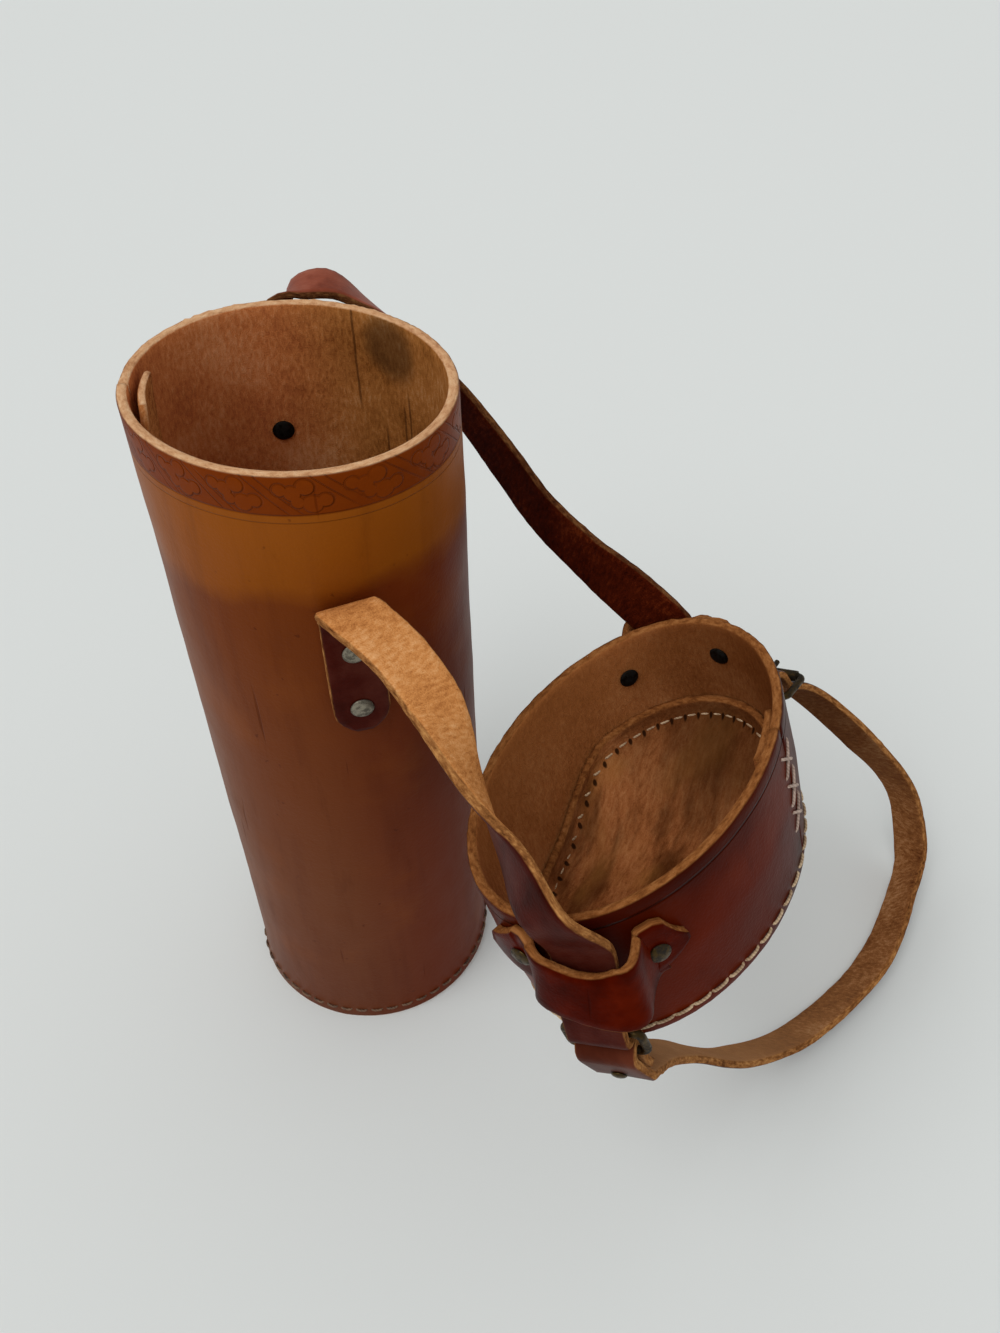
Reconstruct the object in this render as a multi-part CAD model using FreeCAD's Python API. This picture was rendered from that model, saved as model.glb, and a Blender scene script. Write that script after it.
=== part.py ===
import FreeCAD, Part
import math
import os

V = FreeCAD.Vector
UP = V(0, 0, 1)

# Sizes are in millimetres and degrees. The tube stands on z = 0 with its axis on Z.
# Tube: one leather sheet, rolled up and laced along a butt seam. Its mouth has gone slightly oval.
TUBE_RADIUS = 52.0
TUBE_HEIGHT = 295.0
TUBE_WALL = 3.5
MOUTH_OVAL = 3.1
MOUTH_AZIMUTH = 142.5
TUBE_SEAM_AZIMUTH = 180.0
SEAM_GAP = 0.6

# Sewn leather lies this far from the leather under it.
SEWN_GAP = 0.15

# Base of the tube and crown of the cap: a disc with its rim turned up inside the wall.
BASE_THICKNESS = 4.0
BASE_FLANGE = 12.0
CROWN_THICKNESS = 3.4
CROWN_FLANGE = 11.0
FLANGE_WALL = 3.0

# Backing strips glued inside the two seams.
BACKING_WIDTH = 22.0
BACKING_THICKNESS = 2.5
BACKING_SHORT = 2.0

# Waxed thread.
THREAD_RADIUS = 0.5
THREAD_GAP = 0.2
STITCH_LENGTH = 4.6
STITCH_PITCH = 6.8
STITCH_RISE = 5.0
LACE_REACH = 4.5
LACE_RISE = 9.0
TUBE_LACE_PITCH = 22.0
CAP_LACE_PITCH = 12.0
LACE_MARGIN = 9.0

# Cap: an oval leather cup that hangs beside the tube on the two side straps, mouth up.
CAP_CENTRE = V(100.5, -80.5, 209.0)
CAP_TILT = 17.7
CAP_TILT_AZIMUTH = 160.8
CAP_SPIN = -31.8
CAP_LONG = 65.8
CAP_SHORT = 44.9
CAP_DEPTH = 62.0
CAP_WALL = 3.4
CAP_SHOULDER = 30.0
CROWN_SHARE = 0.955
CAP_SEAM_ANGLE = 18.7

# Straps.
STRAP_WIDTH = 19.0
STRAP_THICKNESS = 3.2
STRAP_GAP = 0.3
TIP_LENGTH = 9.0
TIP_SHARE = 0.3
HOLE_RADIUS = 2.0

# Rivets: two domed caps on one post.
POST_RADIUS = 1.5
POST_GAP = 0.15
RIVET_HEAD = 4.0
KEEPER_RIVET_HEAD = 3.5
FOLD_RIVET_HEAD = 2.6
RIVET_DOME = 1.2
RIVET_SEAT = 0.25
HOLLOW_SEAT = 0.25

# Side straps: where they are riveted to the tube.
FRONT_AZIMUTH = -72.0
BACK_AZIMUTH = 106.0
FRONT_LOWER_RIVET = 204.0
BACK_LOWER_RIVET = 221.0
RIVET_PITCH = 25.0
RIVET_TO_TIP = 11.0
FRONT_TAB_TOP = 242.0
BACK_TAB_TOP = 262.0

# Keepers: leather bridges on the cap that the side straps slide through.
KEEPER_ANGLE = -71.1
FRONT_KEEPER_TOP = 5.0
BACK_KEEPER_TOP = 3.0
FRONT_KEEPER_TILT = 9.0
BACK_KEEPER_TILT = 3.5
KEEPER_HEIGHT = 24.0
KEEPER_SCOOP = 6.0
KEEPER_REACH = 26.0
KEEPER_THICKNESS = 3.2
KEEPER_RIVET_REACH = 18.5
KEEPER_CLEAR = 0.8
KEEPER_HEAD_GAP = 1.4
KEEPER_SIDE = 2.4
KEEPER_WING_POLES = 5
KEEPER_OVERRUN = 0.25
KEEPER_LEAD = 4.0

# How each side strap lies in its keeper: its twist there and at its end, its outward slant
# and its sideways lean.
TWIST_IN_KEEPER = 6.0
FRONT_RING_TWIST = 14.0
BACK_RING_TWIST = 28.0
FRONT_SLANT = 0.17
BACK_SLANT = 0.205
STRAP_LEAN = 0.13
STRAP_SHIFT = -1.0
RING_DROP = 42.0

# Rings of bent wire that join the side straps to the shoulder strap.
WIRE_RADIUS = 1.4
WIRE_GAP = 0.4
RING_SPAN = 10.5
RING_SIDE_GAP = 1.1
RING_BEND = 2.6

# Folded strap ends.
FOLD_TAPER = 8.0
FOLD_TAIL = 13.8
FOLD_STRAIGHT = 1.0
FOLD_RIVET_BACK = 10.9
LAYER_GAP = 0.2

# Buckle: a wire frame with a roller and a prong.
BUCKLE_POINT = V(174.0, 10.5, 137.0)
BAR_RADIUS = 1.5
BUCKLE_REACH = 15.0
BUCKLE_LIFT = 7.4
BUCKLE_SIDE_GAP = 1.2
ROLLER_RADIUS = 2.3
ROLLER_GAP = 0.08
PRONG_RADIUS = 1.1
PRONG_EYE = 1.2
PRONG_GAP = 0.08
PRONG_PAST_ROLLER = 2.5
PRONG_SLOT_WIDTH = 5.0
PRONG_PLAY = 2.5
ROLLER_RUN = 6.0
TAIL_LENGTH = 34.0
LOOP_PLACE = 22.5
LOOP_WIDTH = 9.0
LOOP_THICKNESS = 2.0

# Directions in which the free strap ends leave their rings.
SHOULDER_LEAVES = V(0.46, 0.20, -0.86)


def unit(vector):
    return V(vector).normalize()


def square_to(vector, axis):
    """The part of a vector that is square to a unit axis, at unit length."""
    return unit(vector - axis * vector.dot(axis))


def polar(azimuth):
    turn = math.radians(azimuth)
    return V(math.cos(turn), math.sin(turn), 0)


def axes_at(origin, x_axis, y_axis):
    """A placement with the given origin and its x and y axes along two square unit vectors."""
    z_axis = x_axis.cross(y_axis)
    rows = [(x_axis.x, y_axis.x, z_axis.x, origin.x),
            (x_axis.y, y_axis.y, z_axis.y, origin.y),
            (x_axis.z, y_axis.z, z_axis.z, origin.z),
            (0, 0, 0, 1)]
    return FreeCAD.Placement(FreeCAD.Matrix(*[value for row in rows for value in row]))


def rod(start, end, radius):
    return Part.makeCylinder(radius, start.distanceToPoint(end), start, end - start)


def oval_wire(long_axis, short_axis, azimuth, z):
    ring = Part.Wire(Part.Ellipse(V(0, 0, z), long_axis, short_axis).toShape())
    ring.rotate(V(0, 0, 0), UP, azimuth)
    return ring


def wall_piece(outer, inner):
    return outer.cut(inner)


def radial_slab(azimuth, width, reach, low, high):
    """A flat slab that stands on the axis and reaches outwards at one azimuth."""
    slab = Part.makeBox(reach, width, high - low, V(0, -width / 2, low))
    slab.rotate(V(0, 0, 0), UP, azimuth)
    return slab


def tube_axes(inset, z):
    swell = MOUTH_OVAL * max(z, 0.0) / TUBE_HEIGHT
    return TUBE_RADIUS - inset + swell, TUBE_RADIUS - inset - swell


def tube_solid(inset, low, high):
    rings = [oval_wire(*tube_axes(inset, z), MOUTH_AZIMUTH, z) for z in (low, high)]
    return Part.makeLoft(rings, True, True)


def tube_normal(azimuth, z):
    """The direction square to the tube's face at one azimuth and height."""
    long_axis, short_axis = tube_axes(0.0, z)
    turn = math.radians(azimuth - MOUTH_AZIMUTH)
    lean = math.atan2(math.sin(turn) / short_axis ** 2, math.cos(turn) / long_axis ** 2)
    return polar(MOUTH_AZIMUTH + math.degrees(lean))


def tube_point(azimuth, z, out=0.0):
    """A point of the tube's outer face, moved outwards."""
    long_axis, short_axis = tube_axes(0.0, z)
    turn = math.radians(azimuth - MOUTH_AZIMUTH)
    reach = long_axis * short_axis / math.hypot(short_axis * math.cos(turn), long_axis * math.sin(turn))
    return polar(azimuth) * reach + tube_normal(azimuth, z) * out + UP * z


def cap_axes(inset, z):
    """Half lengths of the cap's oval at a height below its rim, which is at zero."""
    share = 1.0
    if z < -CAP_SHOULDER:
        share = 1.0 - (1.0 - CROWN_SHARE) * (-z - CAP_SHOULDER) / (CAP_DEPTH - CAP_SHOULDER)
    return CAP_LONG * share - inset, CAP_SHORT * share - inset


def cap_solid(inset, low, high):
    levels = [low, high]
    if low < -CAP_SHOULDER < high:
        levels = [low, -CAP_SHOULDER, high]
    rings = [oval_wire(*cap_axes(inset, z), 90.0, z) for z in levels]
    return Part.makeLoft(rings, True, True)


def cap_wall_frame(angle, along=0.0, z=0.0, inset=0.0):
    """A point of the cap's wall, its outward normal and its tangent. along is a way round the wall."""
    long_axis, short_axis = cap_axes(inset, z)
    turn = math.radians(angle)
    rate = math.hypot(short_axis * math.sin(turn), long_axis * math.cos(turn))
    turn += along / rate
    point = V(short_axis * math.cos(turn), long_axis * math.sin(turn), z)
    normal = unit(V(math.cos(turn) / short_axis, math.sin(turn) / long_axis, 0))
    return point, normal, UP.cross(normal)


TILT_AXIS = polar(CAP_TILT_AZIMUTH + 90.0)
CAP_TURN = FreeCAD.Rotation(TILT_AXIS, CAP_TILT).multiply(FreeCAD.Rotation(UP, CAP_SPIN))
CAP = FreeCAD.Placement(CAP_CENTRE, CAP_TURN)


def hung(shape):
    """Move a shape from the cap's own axes to where the cap hangs."""
    shape.Placement = CAP.multiply(shape.Placement)
    return shape


def rivet(foot, out, grip, head, seat=RIVET_SEAT):
    """A rivet through a stack of leather. foot is on its inner face, out points through it."""
    low = -seat
    high = grip + seat
    ball = (head ** 2 + RIVET_DOME ** 2) / (2 * RIVET_DOME)
    latitude = math.degrees(math.asin((ball - RIVET_DOME) / ball))
    top = Part.makeSphere(ball, V(0, 0, high + RIVET_DOME - ball), UP, latitude, 90, 360)
    under = Part.makeSphere(ball, V(0, 0, ball - RIVET_DOME + low), UP * -1, latitude, 90, 360)
    body = rod(V(0, 0, low), V(0, 0, high), POST_RADIUS).fuse([top, under])
    body.Placement = FreeCAD.Placement(foot, FreeCAD.Rotation(UP, out))
    return body


def rivet_hole(foot, out, grip):
    margin = RIVET_SEAT + RIVET_DOME
    return rod(foot - out * margin, foot + out * (grip + margin), POST_RADIUS + POST_GAP)


def strap(stations, thickness=STRAP_THICKNESS):
    """A leather strap through a list of stations: centre, direction across the strap, width."""
    sections = []
    last = len(stations) - 1
    for index, (centre, across, width) in enumerate(stations):
        ahead = stations[min(index + 1, last)][0]
        behind = stations[max(index - 1, 0)][0]
        along = unit(ahead - behind)
        side = square_to(across, along) * (width / 2)
        face = along.cross(unit(side)) * (thickness / 2)
        sections.append([centre - side - face, centre + side - face,
                         centre + side + face, centre - side + face])
    ends = (sections[0], sections[-1])
    faces = [Part.Face(Part.makePolygon(corners + corners[:1])) for corners in ends]
    for first, second in zip(sections, sections[1:]):
        for near, far in ((0, 1), (1, 2), (2, 3), (3, 0)):
            faces.append(Part.makeRuledSurface(Part.makeLine(first[near], first[far]),
                                               Part.makeLine(second[near], second[far])))
    shell = Part.makeShell(faces)
    shell.sewShape()
    body = Part.makeSolid(shell)
    if body.Volume < 0:
        body.reverse()
    return body


def smooth_run(points, acrosses, leave, arrive, count):
    """Stations along one smooth curve through the points, without its two ends."""
    marks = [0.0]
    for first, second in zip(points, points[1:]):
        marks.append(marks[-1] + first.distanceToPoint(second))
    curve = Part.BSplineCurve()
    curve.interpolate(Points=points, Parameters=marks, Scale=False,
                      InitialTangent=leave, FinalTangent=arrive)
    stations = []
    for step in range(1, count):
        value = marks[-1] * step / count
        span = max(index for index, mark in enumerate(marks[:-1]) if mark <= value)
        share = (value - marks[span]) / (marks[span + 1] - marks[span])
        across = acrosses[span] * (1 - share) + acrosses[span + 1] * share
        stations.append((curve.value(value), across, STRAP_WIDTH))
    return stations


FOLD_STEPS = 10


def fold_stations(bar, bar_radius, across, inward, side):
    """Stations of a strap end folded round a bar.

    inward points along the strap to the bar. side points from the strap to its folded-back layer.
    The list starts on the strap, level with the tip of the folded-back layer, and ends at that tip.
    """
    bend = fold_bend(bar_radius)
    stations = [(bar - side * bend - inward * (FOLD_TAIL + FOLD_STRAIGHT), across)]
    level = STRAP_THICKNESS + LAYER_GAP - bend
    close = math.asin(bend / math.hypot(FOLD_TAPER, level)) - math.atan2(level, FOLD_TAPER)
    for step in range(FOLD_STEPS + 1):
        turn = (math.pi + close) * step / FOLD_STEPS
        centre = bar - side * (bend * math.cos(turn)) + inward * (bend * math.sin(turn))
        stations.append((centre, across))
    stations.append((bar - inward * FOLD_TAPER + side * level, across))
    stations.append((bar - inward * FOLD_TAIL + side * level, across))
    return [(centre, direction, STRAP_WIDTH) for centre, direction in stations]


def fold_bend(bar_radius):
    return bar_radius + WIRE_GAP + STRAP_THICKNESS / 2


def fold_rivet(bar, bar_radius, inward, side):
    """Foot, direction and grip of the rivet that closes a folded strap end."""
    grip = 2 * STRAP_THICKNESS + LAYER_GAP
    outer = -fold_bend(bar_radius) - STRAP_THICKNESS / 2
    return bar - inward * FOLD_RIVET_BACK + side * (outer + grip), -side, grip


def wire_loop(half_width, span, wire, bend):
    """A closed loop of round wire in the XY plane. Its two long bars are at y = 0 and y = span."""
    x_run = half_width - bend
    y_low = bend
    y_high = span - bend
    pieces = [
        rod(V(-x_run, 0, 0), V(x_run, 0, 0), wire),
        rod(V(-x_run, span, 0), V(x_run, span, 0), wire),
        rod(V(-half_width, y_low, 0), V(-half_width, y_high, 0), wire),
        rod(V(half_width, y_low, 0), V(half_width, y_high, 0), wire),
    ]
    corners = [(x_run, y_low, 270), (x_run, y_high, 0), (-x_run, y_high, 90), (-x_run, y_low, 180)]
    for x, y, start in corners:
        disc = Part.Face(Part.Wire(Part.Circle(V(bend, 0, 0), V(0, 1, 0), wire).toShape()))
        elbow = disc.revolve(V(0, 0, 0), UP, 90)
        elbow.rotate(V(0, 0, 0), UP, start)
        elbow.translate(V(x, y, 0))
        pieces.append(elbow)
    return pieces[0].fuse(pieces[1:]).removeSplitter()


class SideStrap:
    """One of the two straps that carry the cap: where it is riveted, how it runs and what it meets."""

    def __init__(self, azimuth, lower_rivet, tab_top, keeper_turn, keeper_top, keeper_tilt, ring_twist,
                 slant):
        self.azimuth = azimuth
        self.lower_rivet = lower_rivet
        self.tab_top = tab_top
        self.keeper_top = keeper_top
        self.keeper_tilt = math.radians(keeper_tilt)
        self.ring_twist = ring_twist
        self.slant = slant
        self.out = tube_normal(azimuth, lower_rivet + RIVET_PITCH / 2)
        self.tangent = UP.cross(self.out)
        self.keeper_angle = KEEPER_ANGLE + keeper_turn
        point, normal, tangent = cap_wall_frame(self.keeper_angle)
        self.wall_point = point
        self.wall_normal = normal
        self.wall_tangent = tangent

    def twist(self, angle):
        """Direction across the strap and its grain side at a twist, in the cap's own axes."""
        turn = math.radians(angle)
        across = self.wall_tangent * math.cos(turn) + self.wall_normal * math.sin(turn)
        grain = self.wall_normal * math.cos(turn) - self.wall_tangent * math.sin(turn)
        return across, grain

    def seat(self):
        """Distance of the strap's middle from the cap's wall at the top of the keeper."""
        turn = math.radians(TWIST_IN_KEEPER)
        half = STRAP_WIDTH / 2 * math.sin(turn) + STRAP_THICKNESS / 2 * math.cos(turn)
        return half + STRAP_GAP

    def lean(self, drop):
        """Sideways distance of the strap's middle from the middle of the keeper."""
        return STRAP_SHIFT + STRAP_LEAN * (drop - self.keeper_top - KEEPER_LEAD)

    def keeper_point(self, drop):
        """Middle of the strap at a drop below the cap's rim, in the cap's own axes."""
        out = self.seat() + self.slant * max(drop - self.keeper_top, 0.0)
        return self.wall_point + self.wall_normal * out - self.wall_tangent * self.lean(drop) - UP * drop

    def end_axes(self):
        """Bar centre, direction across, direction to the bar and flesh side of the strap's ring end."""
        across, grain = self.twist(self.ring_twist)
        inward = square_to(self.wall_normal * self.slant - self.wall_tangent * STRAP_LEAN - UP, across)
        flesh = unit(across.cross(inward))
        if flesh.dot(grain) > 0:
            flesh = flesh * -1
        bar = self.keeper_point(RING_DROP) + flesh * fold_bend(WIRE_RADIUS)
        turn = CAP.Rotation
        return CAP.multVec(bar), turn.multVec(across), turn.multVec(inward), turn.multVec(flesh)

    def tab_stations(self):
        tip = self.lower_rivet - RIVET_TO_TIP
        stations = []
        for z, share in ((tip, TIP_SHARE), (tip + TIP_LENGTH, 1.0), (self.tab_top - TIP_LENGTH, 1.0),
                         (self.tab_top, 1.0)):
            centre = tube_point(self.azimuth, z, STRAP_GAP + STRAP_THICKNESS / 2)
            stations.append((centre, self.tangent, STRAP_WIDTH * share))
        return stations

    def tube_rivets(self):
        grip = TUBE_WALL + STRAP_GAP + STRAP_THICKNESS
        return [(tube_point(self.azimuth, z, -TUBE_WALL), self.out, grip)
                for z in (self.lower_rivet, self.lower_rivet + RIVET_PITCH)]

    def keeper_rivets(self):
        grip = CAP_WALL + SEWN_GAP + KEEPER_THICKNESS
        feet = []
        for reach in (-KEEPER_RIVET_REACH, KEEPER_RIVET_REACH):
            along = reach * math.cos(self.keeper_tilt)
            drop = self.keeper_top + KEEPER_HEIGHT / 2 + reach * math.sin(self.keeper_tilt)
            point, normal, tangent = cap_wall_frame(self.keeper_angle, along, -drop)
            feet.append((point - normal * CAP_WALL, normal, grip))
        return feet


FRONT = SideStrap(FRONT_AZIMUTH, FRONT_LOWER_RIVET, FRONT_TAB_TOP, 0.0,
                  FRONT_KEEPER_TOP, FRONT_KEEPER_TILT, FRONT_RING_TWIST, FRONT_SLANT)
BACK = SideStrap(BACK_AZIMUTH, BACK_LOWER_RIVET, BACK_TAB_TOP, 180.0,
                 BACK_KEEPER_TOP, BACK_KEEPER_TILT, BACK_RING_TWIST, BACK_SLANT)

# The free runs: places given from the top of the riveted tab towards the cap's keeper, as a share
# of the way and an offset, with the direction across the strap there.
FRONT_RUN = [
    (0.04, V(-0.7, -4.8, 12.2), V(0.90, 0.42, 0.05)),
    (0.11, V(1.4, -4.9, 14.4), V(0.86, 0.48, -0.05)),
    (0.20, V(2.4, -3.6, 15.8), V(0.83, 0.52, -0.12)),
    (0.35, V(3.4, -3.3, 14.7), V(0.75, 0.63, -0.20)),
    (0.53, V(-0.1, -3.8, 11.8), V(0.35, 0.65, -0.65)),
    (0.71, V(-1.9, -2.8, 7.3), V(-0.15, 0.55, -0.80)),
    (0.91, V(-4.2, -7.8, 10.7), V(-0.60, 0.42, -0.68)),
]
BACK_RUN = [
    (0.00, V(1.0, 5.6, 17.5), V(0.75, 0.66, 0.00)),
    (0.00, V(9.5, 12.6, 29.0), V(0.25, 0.95, 0.00)),
    (0.02, V(17.2, 16.5, 31.2), V(0.00, 0.99, -0.05)),
    (0.10, V(19.4, 22.1, 27.6), V(-0.08, 0.92, -0.38)),
    (0.35, V(17.7, 30.6, 6.3), V(-0.22, 0.40, -0.89)),
    (0.49, V(12.9, 26.2, 0.6), V(-0.27, 0.22, -0.94)),
    (0.63, V(7.8, 15.8, -1.2), V(-0.28, 0.22, -0.93)),
    (0.78, V(4.6, 6.2, 0.2), V(-0.40, 0.20, -0.89)),
    (0.91, V(2.0, -0.4, 2.8), V(-0.72, 0.14, -0.68)),
]
SIDE_STRAP_STEPS = 26


def side_strap(side, run, hand):
    tab = [(centre, across * hand, width) for centre, across, width in side.tab_stations()]
    start = tab[-1][0]
    across_in, grain = side.twist(TWIST_IN_KEEPER)
    turn = CAP.Rotation
    entry_drop = side.keeper_top + KEEPER_LEAD
    entry = CAP.multVec(side.keeper_point(entry_drop))
    points = [start]
    acrosses = [tab[-1][1]]
    for share, offset, across in run:
        points.append(start + (entry - start) * share + offset)
        acrosses.append(across)
    points.append(entry)
    acrosses.append(turn.multVec(across_in) * -hand)
    lead = side.keeper_point(entry_drop + 1.0) - side.keeper_point(entry_drop)
    free = smooth_run(points, acrosses, UP, turn.multVec(unit(lead)), SIDE_STRAP_STEPS)
    bar, across, inward, flesh = side.end_axes()
    end = fold_stations(bar, WIRE_RADIUS, across * -hand, inward, flesh)
    body = strap(tab + free + [(entry, acrosses[-1], STRAP_WIDTH)] + end)
    for foot, out, grip in side.tube_rivets():
        body = body.cut(rivet_hole(foot, out, grip))
    return body.cut(rivet_hole(*fold_rivet(bar, WIRE_RADIUS, inward, flesh)))


def side_fold_rivet(side):
    bar, across, inward, flesh = side.end_axes()
    foot, out, grip = fold_rivet(bar, WIRE_RADIUS, inward, flesh)
    return rivet(foot, out, grip, FOLD_RIVET_HEAD, LAYER_GAP)


def tube_wall():
    wall = wall_piece(tube_solid(0.0, 0.0, TUBE_HEIGHT), tube_solid(TUBE_WALL, -1.0, TUBE_HEIGHT + 1.0))
    wall = wall.cut(radial_slab(TUBE_SEAM_AZIMUTH, SEAM_GAP, 2 * TUBE_RADIUS, -1.0, TUBE_HEIGHT + 1.0))
    for side in (FRONT, BACK):
        for foot, out, grip in side.tube_rivets():
            wall = wall.cut(rivet_hole(foot, out, grip))
    return wall


def tube_base():
    inset = TUBE_WALL + SEWN_GAP
    cup = tube_solid(inset, 0.0, BASE_FLANGE)
    return wall_piece(cup, tube_solid(inset + FLANGE_WALL, BASE_THICKNESS, BASE_FLANGE + 1.0))


def tube_seam_backing():
    inset = TUBE_WALL + SEWN_GAP
    low = BASE_FLANGE + BACKING_SHORT
    high = TUBE_HEIGHT - BACKING_SHORT
    sleeve = wall_piece(tube_solid(inset, low, high),
                        tube_solid(inset + BACKING_THICKNESS, low - 1.0, high + 1.0))
    return sleeve.common(radial_slab(TUBE_SEAM_AZIMUTH, BACKING_WIDTH, 2 * TUBE_RADIUS, low, high))


def stitch(point, normal, tangent, lift):
    middle = point + normal * lift
    half = tangent * (STITCH_LENGTH / 2)
    return rod(middle - half, middle + half, THREAD_RADIUS)


def tube_base_stitching():
    count = round(2 * math.pi * TUBE_RADIUS / STITCH_PITCH)
    lift = THREAD_RADIUS + THREAD_GAP
    stitches = []
    for index in range(count):
        azimuth = TUBE_SEAM_AZIMUTH + 360.0 * (index + 0.5) / count
        out = tube_normal(azimuth, STITCH_RISE)
        stitches.append(stitch(tube_point(azimuth, STITCH_RISE), out, UP.cross(out), lift))
    return Part.makeCompound(stitches)


def cross_lace(place, low, high):
    """Crossed threads over a seam. place gives a point from the distance beside the seam, z and lift."""
    under = THREAD_RADIUS + 2 * THREAD_GAP
    over = under + 2 * THREAD_RADIUS + THREAD_GAP / 2
    first = rod(place(-LACE_REACH, low, under), place(LACE_REACH, high, under), THREAD_RADIUS)
    second = rod(place(LACE_REACH, low, over), place(-LACE_REACH, high, over), THREAD_RADIUS)
    return [first, second]


def lace_levels(length, pitch):
    count = int((length - 2 * LACE_MARGIN - LACE_RISE) / pitch) + 1
    return [LACE_MARGIN + index * pitch for index in range(count)]


def tube_seam_lacing():
    def place(along, z, lift):
        azimuth = TUBE_SEAM_AZIMUTH + math.degrees(along / TUBE_RADIUS)
        return tube_point(azimuth, z, lift)
    threads = []
    for low in lace_levels(TUBE_HEIGHT, TUBE_LACE_PITCH):
        threads += cross_lace(place, low, low + LACE_RISE)
    return Part.makeCompound(threads)


def cap_seam_lacing():
    def place(along, z, lift):
        point, normal, tangent = cap_wall_frame(CAP_SEAM_ANGLE, along, z)
        return point + normal * lift
    threads = []
    for drop in lace_levels(CAP_DEPTH, CAP_LACE_PITCH):
        threads += cross_lace(place, -drop, -drop - LACE_RISE)
    return hung(Part.makeCompound(threads))


def cap_wall():
    wall = wall_piece(cap_solid(0.0, -CAP_DEPTH, 0.0), cap_solid(CAP_WALL, -CAP_DEPTH - 1.0, 1.0))
    point, normal, tangent = cap_wall_frame(CAP_SEAM_ANGLE)
    slit = Part.makeBox(4 * CAP_WALL, SEAM_GAP, CAP_DEPTH + 2.0, V(-2 * CAP_WALL, -SEAM_GAP / 2, 0))
    slit.Placement = axes_at(point - UP * (CAP_DEPTH + 1.0), normal, tangent)
    wall = wall.cut(slit)
    for side in (FRONT, BACK):
        for foot, out, grip in side.keeper_rivets():
            wall = wall.cut(rivet_hole(foot, out, grip))
    return hung(wall)


def cap_crown():
    inset = CAP_WALL + SEWN_GAP
    cup = cap_solid(inset, -CAP_DEPTH, CROWN_FLANGE - CAP_DEPTH)
    hollow = cap_solid(inset + FLANGE_WALL, CROWN_THICKNESS - CAP_DEPTH, CROWN_FLANGE - CAP_DEPTH + 1.0)
    return hung(wall_piece(cup, hollow))


def cap_crown_stitching():
    z = STITCH_RISE - CAP_DEPTH
    girth = math.pi * (CAP_LONG + CAP_SHORT)
    count = round(girth / STITCH_PITCH)
    lift = THREAD_RADIUS + THREAD_GAP
    inner = CAP_WALL + SEWN_GAP + FLANGE_WALL
    stitches = []
    for index in range(count):
        angle = CAP_SEAM_ANGLE + 360.0 * (index + 0.5) / count
        stitches.append(stitch(*cap_wall_frame(angle, 0.0, z), lift))
        stitches.append(stitch(*cap_wall_frame(angle, 0.0, z, inner), -lift))
    return hung(Part.makeCompound(stitches))


def cap_seam_backing():
    inset = CAP_WALL + SEWN_GAP
    low = CROWN_FLANGE - CAP_DEPTH + BACKING_SHORT
    high = -BACKING_SHORT
    sleeve = wall_piece(cap_solid(inset, low, high),
                        cap_solid(inset + BACKING_THICKNESS, low - 1.0, high + 1.0))
    point, normal, tangent = cap_wall_frame(CAP_SEAM_ANGLE)
    block = Part.makeBox(2 * BACKING_WIDTH, BACKING_WIDTH, CAP_DEPTH,
                         V(-BACKING_WIDTH, -BACKING_WIDTH / 2, 0))
    block.Placement = axes_at(point - UP * CAP_DEPTH, normal, tangent)
    return hung(sleeve.common(block))


def keeper_room(side, share):
    """Room that the strap needs under the keeper at its left edge, middle and right edge.

    share runs from 0 at the keeper's top to 1 at its bottom. It may run past either end.
    """
    def room(drop, twist):
        middle = (side.keeper_point(drop) - side.wall_point).dot(side.wall_normal)
        turn = math.radians(twist)
        clear = STRAP_THICKNESS / 2 + KEEPER_CLEAR
        return V(middle - STRAP_WIDTH / 2 * math.sin(turn) + clear, middle + clear,
                 middle + STRAP_WIDTH / 2 * math.sin(turn) + clear)
    top = room(side.keeper_top, TWIST_IN_KEEPER)
    bottom = room(side.keeper_top + KEEPER_HEIGHT, side.ring_twist)
    return top + (bottom - top) * share


def keeper_section(side, share):
    """The keeper cut level, as a closed wire."""
    left, middle, right = keeper_room(side, share)
    half = STRAP_WIDTH / 2
    drop = side.keeper_top + KEEPER_HEIGHT * share

    def face_edge(thickness, foot):
        """One face of the keeper from above. Each pole is a way round the wall and a distance from it."""
        step = (foot - KEEPER_REACH) / KEEPER_WING_POLES
        wing = [KEEPER_REACH + step * index for index in range(KEEPER_WING_POLES + 1)]
        bulge = [(-foot, 1.15 * left), (-half, 1.25 * left), (0.0, 1.25 * middle)]
        bulge += [(half, 1.35 * right), (foot, right)]
        poles = [(-along, 0.0) for along in wing]
        poles += [(along - side.lean(drop), out) for along, out in bulge]
        poles += [(along, 0.0) for along in wing[::-1]]
        places = []
        for along, out in poles:
            point, normal, tangent = cap_wall_frame(side.keeper_angle, along)
            places.append(point + normal * (out + SEWN_GAP + thickness) - UP * drop)
        curve = Part.BSplineCurve()
        curve.buildFromPoles(places, False, 3)
        return curve.toShape(), places[0], places[-1]

    foot = KEEPER_RIVET_REACH - KEEPER_RIVET_HEAD - KEEPER_HEAD_GAP
    inner, inner_start, inner_end = face_edge(0.0, foot - KEEPER_SIDE)
    outer, outer_start, outer_end = face_edge(KEEPER_THICKNESS, foot)
    return Part.Wire([inner, Part.LineSegment(inner_end, outer_end).toShape(), outer,
                      Part.LineSegment(outer_start, inner_start).toShape()])


def keeper(side):
    band = Part.makeLoft([keeper_section(side, -KEEPER_OVERRUN), keeper_section(side, 1 + KEEPER_OVERRUN)],
                         True, True)
    band = band.common(keeper_outline(side))
    for foot, out, grip in side.keeper_rivets():
        band = band.cut(rivet_hole(foot, out, grip))
    return hung(band)


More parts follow.
